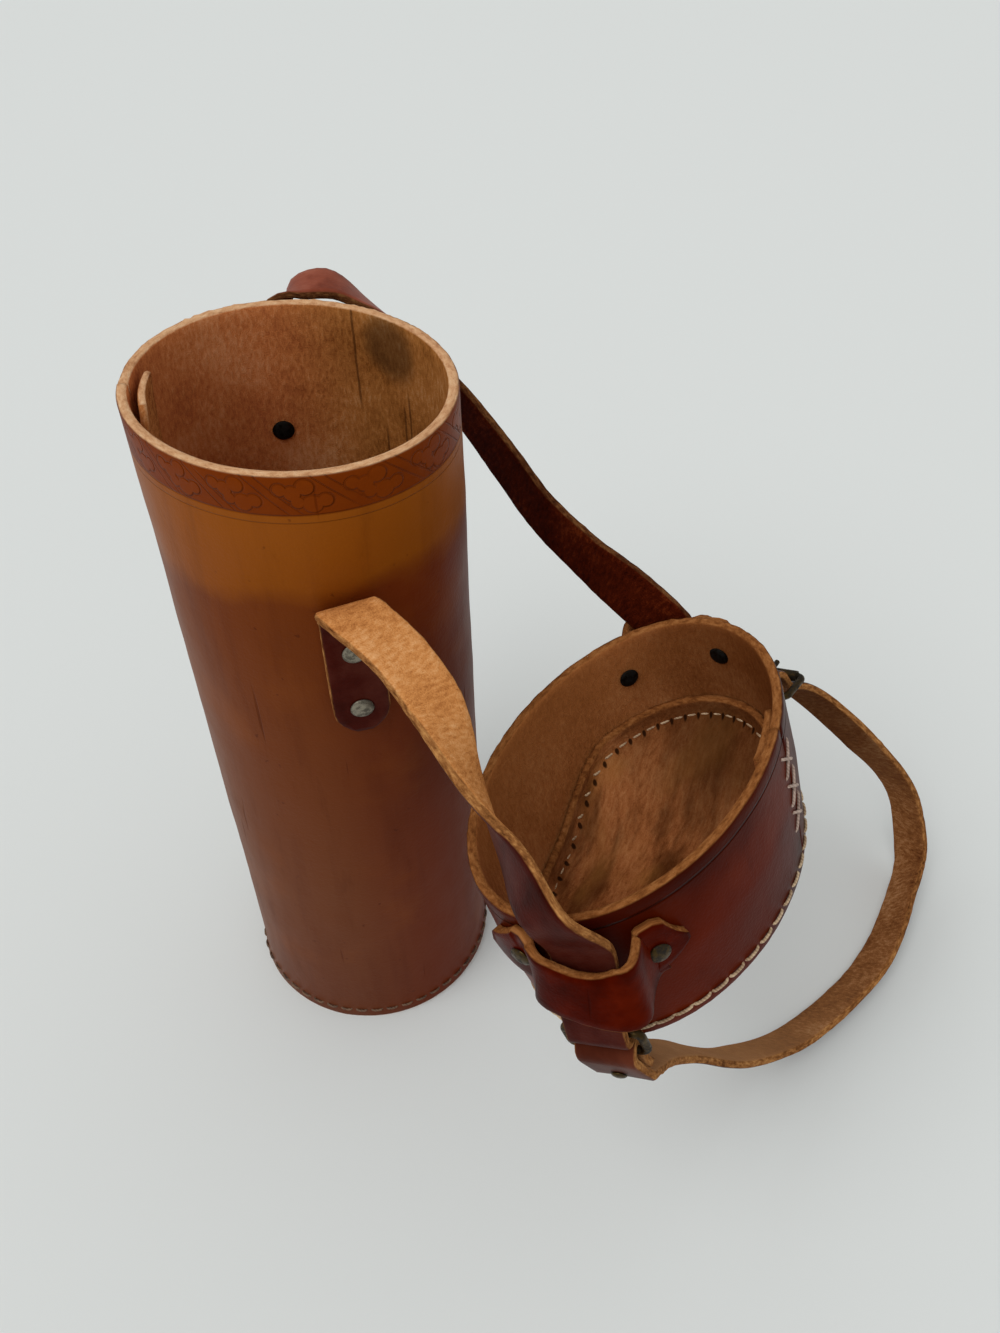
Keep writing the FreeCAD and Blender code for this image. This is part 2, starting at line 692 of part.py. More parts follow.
def keeper_outline(side):
    """A prism seen square to the wall: pointed ends and a scooped upper edge."""
    def corner(along, rise):
        return V(along, rise, -2 * KEEPER_REACH)
    shoulder = KEEPER_RIVET_REACH - 1.0
    half = KEEPER_HEIGHT / 2
    tip = KEEPER_HEIGHT * 0.05
    left = [corner(-shoulder, half), corner(-KEEPER_REACH, tip), corner(-shoulder, -half)]
    right = [corner(shoulder, -half), corner(KEEPER_REACH, tip), corner(shoulder, half)]
    scoop = Part.Arc(right[2], corner(0, half - KEEPER_SCOOP), left[0]).toShape()
    sides = Part.makePolygon(left + right)
    face = Part.Face(Part.Wire(sides.Edges + [scoop]))
    prism = face.extrude(V(0, 0, 4 * KEEPER_REACH))
    tilt = side.keeper_tilt
    level = side.wall_tangent * math.cos(tilt) - UP * math.sin(tilt)
    rise = UP * math.cos(tilt) + side.wall_tangent * math.sin(tilt)
    prism.Placement = axes_at(side.wall_point - UP * (side.keeper_top + half), level, rise)
    return prism


def rivets(feet, head):
    """Rivets whose inner heads lie in a hollow wall, a little further off than the outer heads."""
    return Part.makeCompound([rivet(foot - out * HOLLOW_SEAT, out, grip + HOLLOW_SEAT, head)
                              for foot, out, grip in feet])


def ring_axes(side, leaves):
    """Bars of a ring, the direction across it and the direction from its upper bar to its lower bar."""
    bar, across, inward, flesh = side.end_axes()
    hang = square_to(inward + unit(leaves), across)
    return bar, bar + hang * RING_SPAN, across, hang


def ring(side, leaves):
    bar, low_bar, across, hang = ring_axes(side, leaves)
    half = STRAP_WIDTH / 2 + RING_SIDE_GAP + WIRE_RADIUS
    body = wire_loop(half, RING_SPAN, WIRE_RADIUS, RING_BEND)
    body.Placement = axes_at(bar, across, hang)
    return body


class BuckleStrap:
    """The short strap between the back ring and the buckle, with the buckle's own axes."""

    def __init__(self):
        ring_bar = BACK.end_axes()[0]
        self.leaves = BUCKLE_POINT - ring_bar
        upper, self.ring_bar, across, hang = ring_axes(BACK, self.leaves)
        self.along = square_to(BUCKLE_POINT - self.ring_bar, across)
        self.length = (BUCKLE_POINT - self.ring_bar).dot(self.along)
        self.across = across
        flesh = BACK.end_axes()[3]
        self.grain = unit(self.along.cross(across))
        if self.grain.dot(flesh) > 0:
            self.grain = self.grain * -1
        self.heel = self.ring_bar + self.along * self.length

    def at(self, forward, out, sideways=0.0):
        """A point from the heel bar: forward to the long strap, out to the grain side."""
        return self.heel + self.along * forward + self.grain * out + self.across * sideways


CHAPE = BuckleStrap()
CHAPE_FACE = fold_bend(BAR_RADIUS) + STRAP_THICKNESS / 2
TAIL_LEVEL = CHAPE_FACE + RIVET_DOME + 3 * LAYER_GAP + STRAP_THICKNESS / 2
UNDER_ROLLER = BUCKLE_LIFT - ROLLER_RADIUS - STRAP_GAP - STRAP_THICKNESS / 2


def chape_folds():
    """The two folds of the short strap: round the ring's bar and round the buckle's heel bar."""
    flesh = CHAPE.grain * -1
    return [(CHAPE.ring_bar, WIRE_RADIUS, CHAPE.along * -1, flesh),
            (CHAPE.heel, BAR_RADIUS, CHAPE.along, flesh)]


def buckle_strap():
    (ring_bar, wire, back, flesh), (heel, bar, ahead, same) = chape_folds()
    ring_end = fold_stations(ring_bar, wire, CHAPE.across, back, flesh)
    heel_end = fold_stations(heel, bar, CHAPE.across, ahead, flesh)
    body = strap(ring_end[::-1] + heel_end)
    slot = Part.makeBox(4 * CHAPE_FACE, PRONG_SLOT_WIDTH, 3 * CHAPE_FACE,
                        V(-1.2 * CHAPE_FACE, -PRONG_SLOT_WIDTH / 2, -CHAPE_FACE + STRAP_THICKNESS / 2))
    slot.Placement = axes_at(heel, CHAPE.along, CHAPE.grain.cross(CHAPE.along))
    body = body.cut(slot)
    for fold in chape_folds():
        body = body.cut(rivet_hole(*fold_rivet(*fold)))
    return body


def buckle_strap_rivet(fold):
    foot, out, grip = fold_rivet(*fold)
    return rivet(foot, out, grip, FOLD_RIVET_HEAD, LAYER_GAP)


def outer_bar():
    return CHAPE.at(BUCKLE_REACH, BUCKLE_LIFT)


def buckle_frame():
    bar = outer_bar()
    rise = unit(bar - CHAPE.heel)
    half = STRAP_WIDTH / 2 + BUCKLE_SIDE_GAP + BAR_RADIUS
    body = wire_loop(half, bar.distanceToPoint(CHAPE.heel), BAR_RADIUS, RING_BEND)
    body.Placement = axes_at(CHAPE.heel, CHAPE.across, rise)
    return body


def buckle_roller():
    half = CHAPE.across * (STRAP_WIDTH / 2 + BUCKLE_SIDE_GAP - RING_BEND + BAR_RADIUS)
    bar = outer_bar()
    sleeve = rod(bar - half, bar + half, ROLLER_RADIUS)
    return sleeve.cut(rod(bar - half * 2, bar + half * 2, BAR_RADIUS + ROLLER_GAP))


def prong_line():
    """The prong's middle line: from the top of its eye, over the roller and a little past it."""
    rise = BAR_RADIUS + PRONG_GAP + PRONG_RADIUS
    reach = math.hypot(BUCKLE_REACH, BUCKLE_LIFT - rise)
    over = ROLLER_RADIUS + PRONG_RADIUS + STRAP_GAP
    slope = math.atan2(BUCKLE_LIFT - rise, BUCKLE_REACH) + math.asin(over / reach)
    length = reach + PRONG_PAST_ROLLER
    return CHAPE.at(0.0, rise), CHAPE.at(length * math.cos(slope), rise + length * math.sin(slope))


def buckle_prong():
    start, end = prong_line()
    half = CHAPE.across * (PRONG_RADIUS * 1.4)
    eye = rod(CHAPE.heel - half, CHAPE.heel + half, BAR_RADIUS + PRONG_GAP + PRONG_EYE)
    tongue = rod(start, end, PRONG_RADIUS)
    body = eye.fuse(tongue).removeSplitter()
    return body.cut(rod(CHAPE.heel - half * 3, CHAPE.heel + half * 3, BAR_RADIUS + PRONG_GAP))


def prong_hole():
    """A slot for the prong through the long strap, with room for the prong to lift."""
    start, end = prong_line()
    way = unit(end - start)
    room = PRONG_RADIUS + STRAP_GAP
    length = (end - start).Length
    box = Part.makeBox(length, 2 * HOLE_RADIUS, 2 * room + PRONG_PLAY, V(0, -HOLE_RADIUS, -room))
    box.Placement = axes_at(start, way, CHAPE.grain.cross(CHAPE.along))
    return box


def strap_loop():
    """A leather loop round the short strap and the tail of the long strap."""
    low = CHAPE_FACE - 2 * STRAP_THICKNESS - LAYER_GAP - STRAP_GAP
    high = TAIL_LEVEL + STRAP_THICKNESS / 2 + STRAP_GAP
    width = STRAP_WIDTH + 2 * STRAP_GAP
    inner = Part.makeBox(2 * LOOP_WIDTH, width, high - low, V(-LOOP_WIDTH, -width / 2, low))
    outer = Part.makeBox(LOOP_WIDTH, width + 2 * LOOP_THICKNESS, high - low + 2 * LOOP_THICKNESS,
                         V(-LOOP_WIDTH / 2, -width / 2 - LOOP_THICKNESS, low - LOOP_THICKNESS))
    body = outer.cut(inner)
    body.Placement = axes_at(CHAPE.at(-LOOP_PLACE, 0.0), CHAPE.along, CHAPE.grain.cross(CHAPE.along))
    return body


# The shoulder strap's free run: places and directions across. Where z is None, one edge lies
# on the floor.
SHOULDER_RUN = [
    (102.0, -143.5, 132.0, V(0.76, -0.56, 0.34)),
    (109.5, -129.5, 110.0, V(0.72, -0.58, 0.38)),
    (121.0, -116.8, 86.0, V(0.69, -0.58, 0.43)),
    (154.0, -96.3, 39.0, V(0.64, -0.58, 0.50)),
    (189.0, -72.0, 11.5, V(0.60, -0.55, 0.58)),
    (231.0, -35.0, None, V(0.56, -0.47, 0.68)),
    (249.6, -4.7, None, V(0.46, -0.34, 0.82)),
    (258.5, 14.0, 13.5, V(0.42, -0.46, 0.78)),
    (255.7, 27.1, 36.0, V(0.48, -0.80, 0.35)),
    (224.5, 27.7, 86.0, V(0.68, -0.56, 0.46)),
]
SHOULDER_STEPS = 40
FLOOR_GAP = 0.6
STRAP_HOLES = (72.0, 146.0)


def shoulder_stations():
    upper, bar, across, hang = ring_axes(FRONT, SHOULDER_LEAVES)
    leaves = square_to(SHOULDER_LEAVES, across)
    flesh = FRONT.end_axes()[3]
    side = unit(across.cross(leaves))
    if side.dot(flesh) < 0:
        side = side * -1
    end = fold_stations(bar, WIRE_RADIUS, across, leaves * -1, side)
    points = [end[0][0]]
    acrosses = [across]
    for x, y, z, lie in SHOULDER_RUN:
        lie = unit(lie)
        if z is None:
            flat = math.sqrt(1.0 - lie.z ** 2)
            z = STRAP_WIDTH / 2 * lie.z + STRAP_THICKNESS / 2 * flat + FLOOR_GAP
        points.append(V(x, y, z))
        acrosses.append(lie)
    into = CHAPE.at(BUCKLE_REACH + ROLLER_RUN, UNDER_ROLLER - STRAP_GAP)
    points.append(into)
    sign = 1.0 if CHAPE.across.dot(acrosses[-1]) > 0 else -1.0
    acrosses.append(CHAPE.across * sign)
    free = smooth_run(points, acrosses, leaves, CHAPE.along * -1, SHOULDER_STEPS)
    through = [(BUCKLE_REACH + ROLLER_RUN, UNDER_ROLLER - STRAP_GAP, 1.0),
               (BUCKLE_REACH + 2.0, UNDER_ROLLER, 1.0),
               (BUCKLE_REACH - 2.0, UNDER_ROLLER, 1.0),
               (2.5, TAIL_LEVEL, 1.0),
               (TIP_LENGTH - TAIL_LENGTH, TAIL_LEVEL, 1.0),
               (-TAIL_LENGTH, TAIL_LEVEL, TIP_SHARE)]
    tail = [(CHAPE.at(forward, out), acrosses[-1], STRAP_WIDTH * share)
            for forward, out, share in through]
    return end, free, tail, (bar, WIRE_RADIUS, leaves * -1, side)


def strap_hole_places(free, tail):
    """Centres and directions of the round holes, at distances along the strap from the buckle."""
    line = [tail[0][0]] + [station[0] for station in free[::-1]]
    holes = []
    gone = 0.0
    for first, second in zip(line, line[1:]):
        step = first.distanceToPoint(second)
        for distance in STRAP_HOLES:
            if gone <= distance < gone + step:
                holes.append((first + (second - first) * ((distance - gone) / step), second - first))
        gone += step
    return holes


def shoulder_strap():
    end, free, tail, fold = shoulder_stations()
    body = strap(end[::-1] + free + tail)
    for centre, along in strap_hole_places(free, tail):
        nearest = min(free, key=lambda station: station[0].distanceToPoint(centre))
        face = unit(unit(along).cross(nearest[1])) * (2 * STRAP_THICKNESS)
        body = body.cut(rod(centre - face, centre + face, HOLE_RADIUS))
    body = body.cut(prong_hole())
    return body.cut(rivet_hole(*fold_rivet(*fold)))


def shoulder_fold_rivet():
    fold = shoulder_stations()[3]
    foot, out, grip = fold_rivet(*fold)
    return rivet(foot, out, grip, FOLD_RIVET_HEAD, LAYER_GAP)


NODES = {
    "tube_wall": tube_wall(),
    "tube_base": tube_base(),
    "tube_base_stitching": tube_base_stitching(),
    "tube_seam_backing": tube_seam_backing(),
    "tube_seam_lacing": tube_seam_lacing(),
    "front_strap_rivets": rivets(FRONT.tube_rivets(), RIVET_HEAD),
    "back_strap_rivets": rivets(BACK.tube_rivets(), RIVET_HEAD),
    "front_side_strap": side_strap(FRONT, FRONT_RUN, 1.0),
    "back_side_strap": side_strap(BACK, BACK_RUN, -1.0),
    "front_fold_rivet": side_fold_rivet(FRONT),
    "back_fold_rivet": side_fold_rivet(BACK),
    "cap_wall": cap_wall(),
    "cap_crown": cap_crown(),
    "cap_crown_stitching": cap_crown_stitching(),
    "cap_seam_backing": cap_seam_backing(),
    "cap_seam_lacing": cap_seam_lacing(),
    "front_keeper": keeper(FRONT),
    "back_keeper": keeper(BACK),
    "front_keeper_rivets": hung(rivets(FRONT.keeper_rivets(), KEEPER_RIVET_HEAD)),
    "back_keeper_rivets": hung(rivets(BACK.keeper_rivets(), KEEPER_RIVET_HEAD)),
    "front_ring": ring(FRONT, SHOULDER_LEAVES),
    "back_ring": ring(BACK, CHAPE.leaves),
    "shoulder_strap": shoulder_strap(),
    "shoulder_fold_rivet": shoulder_fold_rivet(),
    "buckle_strap": buckle_strap(),
    "buckle_strap_ring_rivet": buckle_strap_rivet(chape_folds()[0]),
    "buckle_strap_heel_rivet": buckle_strap_rivet(chape_folds()[1]),
    "buckle_frame": buckle_frame(),
    "buckle_roller": buckle_roller(),
    "buckle_prong": buckle_prong(),
    "strap_loop": strap_loop(),
}

os.makedirs("parts", exist_ok=True)
for name, shape in NODES.items():
    shape.exportStep("parts/" + name + ".step")
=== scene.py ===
import bpy
import bmesh
import math
from mathutils import Matrix, Vector, noise


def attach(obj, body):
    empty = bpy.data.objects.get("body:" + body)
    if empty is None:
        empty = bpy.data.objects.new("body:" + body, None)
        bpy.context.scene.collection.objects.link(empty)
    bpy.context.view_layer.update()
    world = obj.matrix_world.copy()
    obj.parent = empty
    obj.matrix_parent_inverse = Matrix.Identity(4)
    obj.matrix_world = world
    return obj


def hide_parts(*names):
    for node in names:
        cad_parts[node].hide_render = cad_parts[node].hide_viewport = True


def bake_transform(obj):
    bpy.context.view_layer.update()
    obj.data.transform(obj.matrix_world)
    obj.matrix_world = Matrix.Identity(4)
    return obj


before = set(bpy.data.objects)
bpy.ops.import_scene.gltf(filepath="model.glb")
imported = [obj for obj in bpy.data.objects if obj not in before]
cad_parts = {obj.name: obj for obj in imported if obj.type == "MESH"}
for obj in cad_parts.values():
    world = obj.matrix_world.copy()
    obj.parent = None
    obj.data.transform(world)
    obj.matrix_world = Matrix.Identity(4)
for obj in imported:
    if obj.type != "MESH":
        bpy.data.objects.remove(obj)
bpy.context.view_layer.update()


# Tube wall. One sheet of vegetable-tanned leather, rolled up and butted along a laced seam on the left.
# Its grain side is outside and carries a stamped border below the rim. The mouth has gone slightly oval,
# and the foot flares a little where it is sewn to the base.
TUBE_RADIUS = 0.052
TUBE_HEIGHT = 0.295
TUBE_WALL = 0.0035
MOUTH_OVAL = 0.0031
MOUTH_TURN = math.radians(142.5)
FOOT_FLARE, FLARE_HEIGHT = 0.0011, 0.004
BUTT_GAP = 0.0003
RAGGED = 0.0004
CUT_FIBRES = 900
WALL_DENT, SMALL_DENT = (0.00035, 22), (0.00012, 90)


def tint(text):
    """A screen colour as the linear colour that a shader takes."""
    shares = [int(text[i:i + 2], 16) / 255 for i in (0, 2, 4)]
    return (*[s / 12.92 if s < 0.04045 else ((s + 0.055) / 1.055) ** 2.4 for s in shares], 1)


class Tone:
    """A socket of a material, so that shader maths reads as plain sums."""

    def __init__(self, tree, socket=None):
        self.tree = tree
        self.socket = socket

    def made(self, kind, out=0, stops=None, put=None, **settings):
        node = self.tree.nodes.new("ShaderNode" + kind)
        for key, value in settings.items():
            setattr(node, key, value)
        if stops:
            marks = node.color_ramp.elements
            marks.remove(marks[1])
            marks[0].position, marks[0].color = stops[0]
            for place, colour in stops[1:]:
                marks.new(place).color = colour
        for key, value in (put or {}).items():
            if isinstance(value, Tone):
                self.tree.links.new(value.socket, node.inputs[key])
            else:
                node.inputs[key].default_value = value
        return Tone(self.tree, node.outputs[out])

    def sum(self, operation, *values):
        return self.made("Math", operation=operation, put=dict(enumerate(values)))

    def __add__(self, other):
        return self.sum("ADD", self, other)

    __radd__ = __add__

    def __sub__(self, other):
        return self.sum("SUBTRACT", self, other)

    def __rsub__(self, other):
        return self.sum("SUBTRACT", other, self)

    def __mul__(self, other):
        return self.sum("MULTIPLY", self, other)

    __rmul__ = __mul__

    def __truediv__(self, other):
        return self.sum("DIVIDE", self, other)

    def __abs__(self):
        return self.sum("ABSOLUTE", self)

    def to(self, shader, name):
        self.tree.links.new(self.socket, shader.inputs[name])


def blank(name):
    """A new material, its shader and a tone to start from."""
    material = bpy.data.materials.new(name)
    material.use_nodes = True
    return material, material.node_tree.nodes["Principled BSDF"], Tone(material.node_tree)


def axis(flat, index):
    """One of the three coordinates of a place on the flat leather."""
    return flat.made("SeparateXYZ", index, put={0: flat})


def ease(tone, low, high):
    """Rises smoothly from 0 at low to 1 at high."""
    return tone.made("MapRange", interpolation_type="SMOOTHSTEP",
                     put={"Value": tone, "From Min": low, "From Max": high})


def between(share, first, second):
    """Mixes two colours, each a tone or a screen colour."""
    first, second = [tint(colour) if isinstance(colour, str) else colour for colour in (first, second)]
    return share.made("Mix", 2, data_type="RGBA", put={0: share, 6: first, 7: second})


def ramp(share, places, colours):
    """Screen colours that follow one another at places between 0 and 1."""
    return share.made("ValToRGB", put={0: share}, stops=list(zip(places, map(tint, colours))))


def speckle(flat, size, detail, rough, stretch=(1, 1, 1), shift=0.0):
    """Noise with features of about the given size in metres, drawn out along the piece's own axes."""
    pulled = flat.made("Mapping", put={0: flat, 1: (shift, shift * 0.7, shift * 1.3), 3: stretch})
    return flat.made("TexNoise", put={"Vector": pulled, "Scale": 1 / size, "Detail": detail,
                                      "Roughness": rough})


def relief(shader, height):
    """Gives a shader a relief of a height in metres."""
    height.made("Bump", put={"Height": height, "Strength": 1.0, "Distance": 1.0}).to(shader, "Normal")


FIBRE, NAP, PORE, CREASE = 0.0013, 0.0005, 0.0009, 0.0042
SCUFF, SCRATCH, CLOUD, STAIN = 0.010, 0.0034, 0.026, 0.055
NAPPED = 0.95
LEATHER_SHEEN = tint("b04c18")


def leather(name, grain, flesh, edge, tooling=None, shine=0.42, gloss=0.06, stains_and_painted_light=None):
    """Leather with a smooth grain side, a napped flesh side and fibrous cut edges.

    grain is a function that gives the grain side's colour. flesh and edge are lists of three colours.
    The function for the flesh side changes its colour from place to place: stains, and on some pieces painted
    light and shade.
    """
    material, shader, base = blank(name)
    flat = base.made("Attribute", "Vector", attribute_name="flat")
    face = base.made("Attribute", "Fac", attribute_name="face")
    on_grain = ease(face, 0.30, 0.80)
    on_flesh = ease(0 - face, 0.45, 0.90)

    fibre = speckle(flat, FIBRE, 5.0, 0.62, (1.0, 0.45, 1.0))
    nap = speckle(flat, NAP, 2.0, 0.6)
    cloud = speckle(flat, CLOUD, 4.0, 0.6, shift=0.31)
    stain = speckle(flat, STAIN, 3.0, 0.5, shift=0.77)
    flesh_share = fibre * 0.55 + cloud * 0.45 + (stain - 0.5) * 0.40 + (nap - 0.5) * 0.30
    flesh_tone = ramp(flesh_share, (0.32, 0.52, 0.72), flesh)
    if stains_and_painted_light:
        flesh_tone = stains_and_painted_light(base, flat, flesh_tone)
    edge_share = speckle(flat, 0.0012, 4.0, 0.6, (0.35, 1.0, 1.0)) * 0.6 + nap * 0.15 + cloud * 0.25
    edge_tone = ramp(edge_share, (0.36, 0.50, 0.64), edge)

    pores = base.made("TexVoronoi", 0, feature="F1", put={"Vector": flat, "Scale": 1 / PORE})
    crease = speckle(flat, CREASE, 4.0, 0.6, shift=0.53)
    scuff = speckle(flat, SCUFF, 6.0, 0.72, (1.0, 0.22, 1.0), shift=0.12)
    scratch = ease(speckle(flat, SCRATCH, 2.0, 0.5, (1.0, 0.06, 1.0), shift=0.9), 0.70, 0.76)
    grain_tone = grain(base, flat)
    worn = ease(scuff, 0.55, 0.80) * 0.35 + scratch * 0.45 + ease(pores, 0.0, 0.35) * 0.10
    darker = base.made("Mix", 2, data_type="RGBA", blend_type="MULTIPLY",
                       put={0: 1.0, 6: grain_tone, 7: tint("b8a49c")})
    grain_tone = between(worn, grain_tone, darker)

    colour = between(on_grain, edge_tone, grain_tone)
    colour = between(on_flesh, colour, flesh_tone)
    smooth = shine + (scuff - 0.5) * 0.20 + (cloud - 0.5) * 0.14 + scratch * 0.10
    colour.to(shader, "Base Color")
    (on_grain * smooth + (1 - on_grain) * NAPPED).to(shader, "Roughness")
    shader.inputs["Specular IOR Level"].default_value = gloss
    shader.inputs["Specular Tint"].default_value = LEATHER_SHEEN

    fine = pores * 0.00004 + crease * 0.00010 - scratch * 0.00008
    napped = fibre * 0.00045 + nap * 0.00025
    height = on_grain * fine + (1 - on_grain) * napped
    if tooling:
        height = height + on_grain * tooling(base, flat)
    relief(shader, height)
    return material


def placed(name, data):
    """A new object in the scene."""
    obj = bpy.data.objects.new(name, data)
    bpy.context.scene.collection.objects.link(obj)
    return obj


def finished(name, bm, material, body, node):
    """Turns a bmesh into a smooth piece of the object that stands for a CAD node and moves with a body."""
    bmesh.ops.recalc_face_normals(bm, faces=bm.faces[:])
    for surface in bm.faces:
        surface.smooth = True
    mesh = bpy.data.meshes.new(name)
    bm.to_mesh(mesh)
    bm.free()
    mesh.materials.append(material)
    obj = placed(name, mesh)
    if body:
        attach(obj, body)
    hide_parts(node)
    return obj


def sheet():
    """An empty mesh whose vertices keep their place on the flat sheet and their face of the leather."""
    bm = bmesh.new()
    return bm, bm.verts.layers.float_vector.new("flat"), bm.verts.layers.float.new("face")


def shut(bm):
    """Fills the open ends of a mesh."""
    bmesh.ops.holes_fill(bm, edges=[edge for edge in bm.edges if edge.is_boundary], sides=0)


def uneven(spot, depth, scale):
    """Unevenness of a depth in metres, with about so many bumps to a metre."""
    return depth * noise.noise(spot * scale)


def rolled(profile, start, sweep, steps, place, girth, rough):
    """Rolls a leather section round an upright axis.

    profile is a closed list of (depth through the wall, height, face). place gives the point for an angle,
    a height and a depth.
    """
    bm, flat, face = sheet()
    ring = []
    for depth, height, side in profile:
        vert = bm.verts.new((1 + depth, 0, height))
        vert[face] = side
        ring.append(vert)
    edges = [bm.edges.new(pair) for pair in zip(ring, ring[1:] + ring[:1])]
    bmesh.ops.rotate(bm, verts=ring, cent=(0, 0, 0), matrix=Matrix.Rotation(start, 3, "Z"))
    bmesh.ops.spin(bm, geom=ring + edges, cent=(0, 0, 0), axis=(0, 0, 1), angle=sweep, steps=steps)
    shut(bm)
    for vert in bm.verts:
        turn = start + (math.atan2(vert.co.y, vert.co.x) - start + 0.001) % (2 * math.pi) - 0.001
        depth = math.hypot(vert.co.x, vert.co.y) - 1
        height = vert.co.z
        spot = Vector((turn * girth, height, depth))
        vert[flat] = spot
        ragged = uneven(spot, rough * (1 - abs(vert[face])), CUT_FIBRES)
        soft = uneven(spot, *WALL_DENT) + uneven(spot, *SMALL_DENT)
        vert.co = place(turn, height + ragged, depth + soft + ragged)
    return bm


def wall_profile(wall, low, high, rows, lip=0.0009):
    """A wall's section: up the grain side, over the cut rim, down the flesh side, and the cut foot."""
    outer = [(0.0, low + lip + (high - low - 2 * lip) * row / rows, 1.0) for row in range(rows + 1)]
    inner = [(-wall, height, -1.0) for depth, height, side in outer[::-1]]
    rim = [(-0.28 * lip, high - 0.35 * lip, 0.55), (-lip, high, 0.0), (-wall / 2, high + 0.0002, 0.0),
           (lip - wall, high, 0.0), (0.28 * lip - wall, high - 0.35 * lip, -0.55)]
    foot = [(depth, low + high - height, side) for depth, height, side in rim[::-1]]
    return outer + rim + inner + foot


def on_tube(turn, height, depth):
    swell = MOUTH_OVAL * max(height, 0) / TUBE_HEIGHT
    flare = FOOT_FLARE * math.exp(-max(height, 0) / FLARE_HEIGHT)
    long_axis = TUBE_RADIUS + depth + swell + flare
    short_axis = TUBE_RADIUS + depth - swell + flare
    lean = turn - MOUTH_TURN
    reach = long_axis * short_axis / math.hypot(short_axis * math.cos(lean), long_axis * math.sin(lean))
    return Vector((reach * math.cos(turn), reach * math.sin(turn), height))


BORDER_LOW = 0.2815
BORDER_MIDDLE = 0.0065
BAR_SLOPE = 1.02
LINE_GAP = 0.0028
LINE_FAINT = 0.00018
BORDER_PITCH = 2 * math.pi * TUBE_RADIUS / 16
BAR_HALF = 0.0020
STAMP_DEPTH = 0.0003
LOBES = ((-0.0078, 0.0088, 0.0023), (-0.0043, 0.0076, 0.0027), (-0.0005, 0.0096, 0.0028),
         (-0.0030, 0.0046, 0.0022), (0.0012, 0.0038, 0.0031), (0.0048, 0.0048, 0.0024))


def border(base, flat):
    """The stamped border: slanted bars with a cluster of scallops between them, over two plain lines."""
    along = axis(flat, 0)
    rise = axis(flat, 1) - BORDER_LOW
    slant = (rise - BORDER_MIDDLE) * BAR_SLOPE
    share = base.sum("FRACT", (along + slant) / BORDER_PITCH + 40)
    sheared = (share - 0.5) * BORDER_PITCH
    bar = abs(abs(sheared) - (BORDER_PITCH / 2 - BAR_HALF))
    local = sheared - slant
    cluster = None
    for x, y, r in LOBES:
        gap = base.sum("SQRT", (local - x) * (local - x) + (rise - y) * (rise - y)) - r
        cluster = gap if cluster is None else base.sum("MINIMUM", cluster, gap)
    inside = ease(rise, -0.0003, 0.0003)
    lines = base.sum("MINIMUM", abs(rise), abs(rise + LINE_GAP) + LINE_FAINT)
    stamped = base.sum("MINIMUM", bar, abs(cluster))
    fade = ease(speckle(flat, 0.012, 2.0, 0.5, shift=0.6), 0.30, 0.55) * 0.7 + 0.3
    cut = (1 - ease(stamped, 0.00005, 0.0005)) * inside * fade
    ruled = 1 - ease(lines, 0.0001, 0.0005)
    pressed = 1 - ease(cluster, -0.0005, 0.0003)
    return base.sum("MAXIMUM", cut, ruled), inside, pressed * inside


def tube_grain(base, flat):
    """Amber below the border, brown further down, redder with painted shade on the right, paled by a painted
    sheen on the left.
    """
    height = axis(flat, 1)
    along = axis(flat, 0)
    cloud = speckle(flat, 0.045, 4.0, 0.55, shift=1.7)
    drift = speckle(flat, 0.070, 2.0, 0.5, shift=3.1)
    level = height + (cloud - 0.5) * 0.022 + (drift - 0.5) * 0.03
    tone = ramp(level / TUBE_HEIGHT, (0.00, 0.30, 0.60, 0.835, 0.862, 0.94),
                ("643622", "6a3b22", "6c3719", "6e340f", "86460e", "8e4c12"))
    # Darker and redder on the right: partly the leather's own redder tone, partly painted shade on the side
    # away from the light.
    redder = ease(base.sum("SINE", along / TUBE_RADIUS + 1.55), -0.15, 0.75) * (1 - ease(level, 0.244, 0.256))
    tone = between(redder * 0.78, tone, "66240a")
    # Painted sheen: the left side is paled and greyed to stand in for the light's soft reflection there.
    paler = ease(0 - base.sum("COSINE", along / TUBE_RADIUS + 0.35), 0.1, 1.0)
    tone = between(paler * 0.30, tone, "8e6248")
    streak = speckle(flat, 0.009, 4.0, 0.6, (1.0, 0.10, 1.0), shift=1.9)
    tone = between(ease(streak, 0.46, 0.72) * 0.22, tone, "4a1c08")
    tone = between(ease(cloud, 0.52, 0.72) * 0.25, tone, "8a4a1c")
    groove, inside, pressed = border(base, flat)
    tone = between(inside * 0.78, tone, "742c04")
    tone = between(inside * speckle(flat, 0.006, 3.0, 0.6, shift=0.4) * 0.45, tone, "551a06")
    # Painted highlight: the stamped lobes are lightened as if the light caught their raised faces.
    tone = between(pressed * 0.14, tone, "8c400a")
    tone = between(groove * 0.22, tone, "3a1206")
    spots = ease(speckle(flat, 0.0042, 2.0, 0.5, shift=2.6), 0.71, 0.78)
    return between(spots * 0.45, tone, "3e1608")


def tube_tooling(base, flat):
    groove, _, pressed = border(base, flat)
    return (pressed - groove) * STAMP_DEPTH


PATCH = (0.046, 0.284)
PATCH_SIZE = 0.013
CRACKS = ((0.063, 0.258, 0.300), (0.0415, 0.225, 0.262), (0.0385, 0.222, 0.268), (0.052, 0.21, 0.25))


